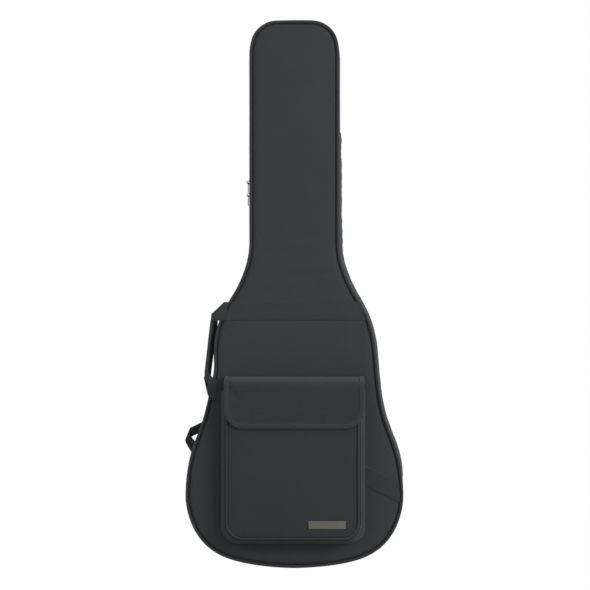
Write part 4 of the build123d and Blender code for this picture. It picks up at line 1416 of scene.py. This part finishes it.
soft_copy("rear_carrying_handle", "rear_handle", "rear_handle", webbing_cloth, 0.9 * MM,
          (0.18, 0, 0.98))
soft_copy("hanging_loop", "hang_loop", "shell", webbing_cloth, 0.8 * MM, (0, 0, 1))
soft_copy("strap_yoke_cloth", "strap_yoke", "shell", plain_weave, 1.4 * MM, (0, 0, 1))
soft_copy("right_strap_web", "right_strap_webbing", "shell", webbing_cloth, 0.7 * MM,
          (-0.83, 0, 0.56))

# %% [markdown]
# The left strap is slack. Its webbing comes off the back, stands out past the side, folds
# there on a slant and runs back down into the side seam. It is two ribbons: one straight
# to the fold, and one that bends back from it, a little nearer to the front.

# %% Slack webbing of the left strap
RUN = low("left_strap_slider").y / 2 + high("left_strap_slider").y / 2
STRAP_THICK = 1.4 * MM
top_side = webbing_edge(RUN, [
    (-0.0735, 0, 0.3490), (-0.1250, 0, 0.3255), (-0.1700, -1, 0.3025),
    (-0.1941, -3, 0.2901), (-0.2198, -5, 0.2775)])
low_side = webbing_edge(RUN, [
    (-0.0860, 0, 0.3272), (-0.1350, 0, 0.2990), (-0.1790, -1, 0.2765),
    (-0.2052, -4, 0.2646), (-0.2292, -6, 0.2535)])
first = ribbon("left_strap_web", top_side, low_side, STRAP_THICK, 10)
hand_over(first, "shell", webbing_cloth, "left_strap_webbing")
outer_side = webbing_edge(RUN, [
    (-0.2292, -7, 0.2535), (-0.2283, -9, 0.2476), (-0.2230, -10, 0.2380),
    (-0.2161, -11, 0.2271), (-0.2030, -12, 0.2120)])
inner_side = webbing_edge(RUN, [
    (-0.2198, -6, 0.2775), (-0.2161, -8, 0.2600), (-0.2093, -10, 0.2510),
    (-0.2030, -11, 0.2430), (-0.1930, -12, 0.2320)])
back_run = ribbon("left_strap_fold", outer_side, inner_side, STRAP_THICK, 10)
hand_over(back_run, "shell", webbing_cloth)

# %% [markdown]
# ## The shoulder pads
#
# A pad is thick foam in a cloth bag, blown full by the foam and pinched along its bound
# edge. This is what cloth simulation is good at: the frame's pad is remeshed, its border is
# pinned, and pressure from inside rounds the rest. How far a point may move is capped.

# %% Blow up a pad with its border pinned
PAD_POINTS = 240  # around its border
PUFF_STEPS = 20


def puff(piece, pinned, pressure, cap):
    """Let pressure fill a closed piece whose pinned points stay, by cloth simulation."""
    before = points_of(piece)
    group = piece.vertex_groups.new(name="pinned")
    group.add([int(k) for k in np.nonzero(pinned)[0]], 1.0, "REPLACE")
    only(piece)
    bpy.ops.object.modifier_add(type="CLOTH")
    cloth = piece.modifiers[-1]
    cloth.settings.vertex_group_mass = "pinned"
    cloth.settings.use_pressure = True
    cloth.settings.uniform_pressure_force = pressure
    cloth.settings.effector_weights.gravity = 0.0
    cloth.collision_settings.use_collision = False
    for step in range(1, PUFF_STEPS + 1):
        bpy.context.scene.frame_set(step)
    bpy.ops.object.modifier_apply(modifier=cloth.name)
    bpy.context.scene.frame_set(1)
    moved = points_of(piece) - before
    far = np.linalg.norm(moved, axis=1)[:, None]
    place_points(piece, before + moved / np.maximum(far, 1e-9) * cap * np.tanh(far / cap))


def shoulder_pad(side):
    """One padded strap with its bound border."""
    node = side + "_strap_pad"
    flat = np.unique(corners_of(node)[:, [0, 2]].round(5), axis=0)
    middle = flat.mean(0)
    order = np.argsort(np.arctan2(flat[:, 1] - middle[1], flat[:, 0] - middle[0]))
    border = even(np.vstack([flat[order], flat[order][:1]]), PAD_POINTS + 1)[:-1]
    depth = (low(node).y + high(node).y) / 2
    piece = soft_copy(side + "_shoulder_pad", node, "shell", plain_weave, 4.0 * MM,
                      (0, 0, 1), 2)
    points = points_of(piece)
    tree = kdtree.KDTree(len(border))
    for k, (a, b) in enumerate(border):
        tree.insert((a, 0, b), k)
    tree.balance()
    gap = np.array([tree.find((p[0], 0, p[2]))[2] for p in points])
    squeeze = 1 - 0.55 * np.exp(-gap / 0.008)
    points[:, 1] = depth + (points[:, 1] - depth) * squeeze
    place_points(piece, points)
    puff(piece, gap < 4.5 * MM, 4.0, 3.0 * MM)
    run = directions(np.roll(border, -1, 0) - np.roll(border, 1, 0))
    away = xyz(run[:, 1], 0.0, -run[:, 0])
    line = xyz(border[:, 0], depth, border[:, 1]) - away * 1.5 * MM
    line, away = (np.vstack([a, a[:1]]) for a in (line, away))
    edge_piece = sweep(side + "_pad_binding", line, away, (0, 1, 0),
                       round_section(3.0 * MM, 0.9))
    hand_over(edge_piece, "shell", cord_cloth)
    sewn(side + "_pad_seam", "shell", [line - away * 5.5 * MM + (0, 3.6 * MM, 0)], up=(0, 1, 0))


shoulder_pad("left")
shoulder_pad("right")

# %% [markdown]
# ## Other nodes of the frame
#
# What the frame already shapes well, the sliders, pulls and locks, keeps its node and only
# gets its finish. The hidden nodes get theirs too, so that none of them is left bare.

# %% Finishes of the frame's own nodes
FINISH = {made["slot"]: made for made in (plain_weave, cord_cloth, lining_cloth, webbing_cloth,
                                          tape_cloth, label_weave, foam, acetal, nylon, nickel,
                                          hook_tape)}
node_slot = {part["node"]: part["material_slot"] for part in frame["record"]["subparts"]}
for name, node in frame["nodes"].items():
    material = FINISH.get(node_slot.get(name))
    if material:
        node.data.materials.clear()
        node.data.materials.append(material)
print("finished", len(node_slot), "nodes")

# %% [markdown]
# ## Floor, lights and camera
#
# A catalogue picture: white all round, a large soft light on the right in front and a little
# above, a much weaker one on the left, and one more behind for the views from the back.

# %% Stage
FLOOR_SIZE = 8.0
FLOOR_GAP = 0.001  # keeps the floor clear of the bag's lowest points


def stage_white():
    """White floor that shows as pure white to the camera and still takes a shadow."""
    made, tree, shader = new_material("studio_floor", "stage")
    shader.inputs["Base Color"].default_value = linear("#d9d9d9")
    shader.inputs["Roughness"].default_value = 0.9
    glow = add(tree, "ShaderNodeEmission", {"Color": (1, 1, 1, 1), "Strength": 1.02})
    rays = add(tree, "ShaderNodeLightPath").outputs["Is Camera Ray"]
    share = add(tree, "ShaderNodeMath", {0: rays, 1: 0.97}, operation="MULTIPLY").outputs[0]
    mix = add(tree, "ShaderNodeMixShader", {0: share, 1: shader.outputs[0],
                                            2: glow.outputs[0]})
    tree.links.new(mix.outputs[0], tree.nodes["Material Output"].inputs["Surface"])
    return made


bpy.ops.object.select_all(action="DESELECT")
bpy.ops.mesh.primitive_plane_add(size=FLOOR_SIZE, location=(0, 0, -FLOOR_GAP))
floor = bpy.context.object
floor.name = "floor"
bpy.ops.object.transform_apply(location=True, rotation=True, scale=True)
floor.data.materials.append(stage_white())

world = bpy.data.worlds.new("studio")
bpy.context.scene.world = world
world.use_nodes = True
sky = world.node_tree
sky.nodes.clear()
paths = add(sky, "ShaderNodeLightPath")
seen = add(sky, "ShaderNodeMath", {0: paths.outputs["Is Camera Ray"],
                                   1: paths.outputs["Is Glossy Ray"]}, operation="MAXIMUM")
level = add(sky, "ShaderNodeMapRange", {"Value": seen.outputs[0], "To Min": 0.38,
                                        "To Max": 1.0})
back = add(sky, "ShaderNodeBackground", {"Color": (1, 1, 1, 1),
                                         "Strength": level.outputs["Result"]})
add(sky, "ShaderNodeOutputWorld", {"Surface": back.outputs[0]})


def soft_light(name, place, size, power):
    """A square area light that looks at the middle of the bag."""
    data = bpy.data.lights.new(name, "AREA")
    data.size = size
    data.energy = power
    lamp = bpy.data.objects.new(name, data)
    bpy.context.scene.collection.objects.link(lamp)
    lamp.location = place
    aim = Vector((0, 0, TOP / 2)) - Vector(place)
    lamp.rotation_euler = aim.to_track_quat("-Z", "Y").to_euler()


soft_light("key", (2.5, -2.5, 1.9), 2.0, 84)
soft_light("fill", (-2.0, -1.8, 1.7), 1.6, 6)
soft_light("rear", (-0.8, 2.4, 1.6), 1.4, 22)

# %% [markdown]
# A long lens from far away keeps the bag's sides almost parallel. The camera stands level with
# the middle of the bag, a degree or two to its right, which shows a little of the hinge side.

# %% Camera
DISTANCE = 5.6
VIEW_WIDTH = 1.2065  # width of the view at the bag
SENSOR = 36.0
TURN = math.radians(1.6)
target = Vector((0.0, 0.0, 0.553))
data = bpy.data.cameras.new("camera")
data.sensor_width = SENSOR
data.lens = SENSOR * DISTANCE / VIEW_WIDTH
camera = bpy.data.objects.new("camera", data)
bpy.context.scene.collection.objects.link(camera)
camera.location = target + Vector((math.sin(TURN), -math.cos(TURN), 0)) * DISTANCE
camera.rotation_euler = (math.pi / 2, 0, TURN)
bpy.context.scene.camera = camera
bpy.context.scene.view_settings.view_transform = "Standard"
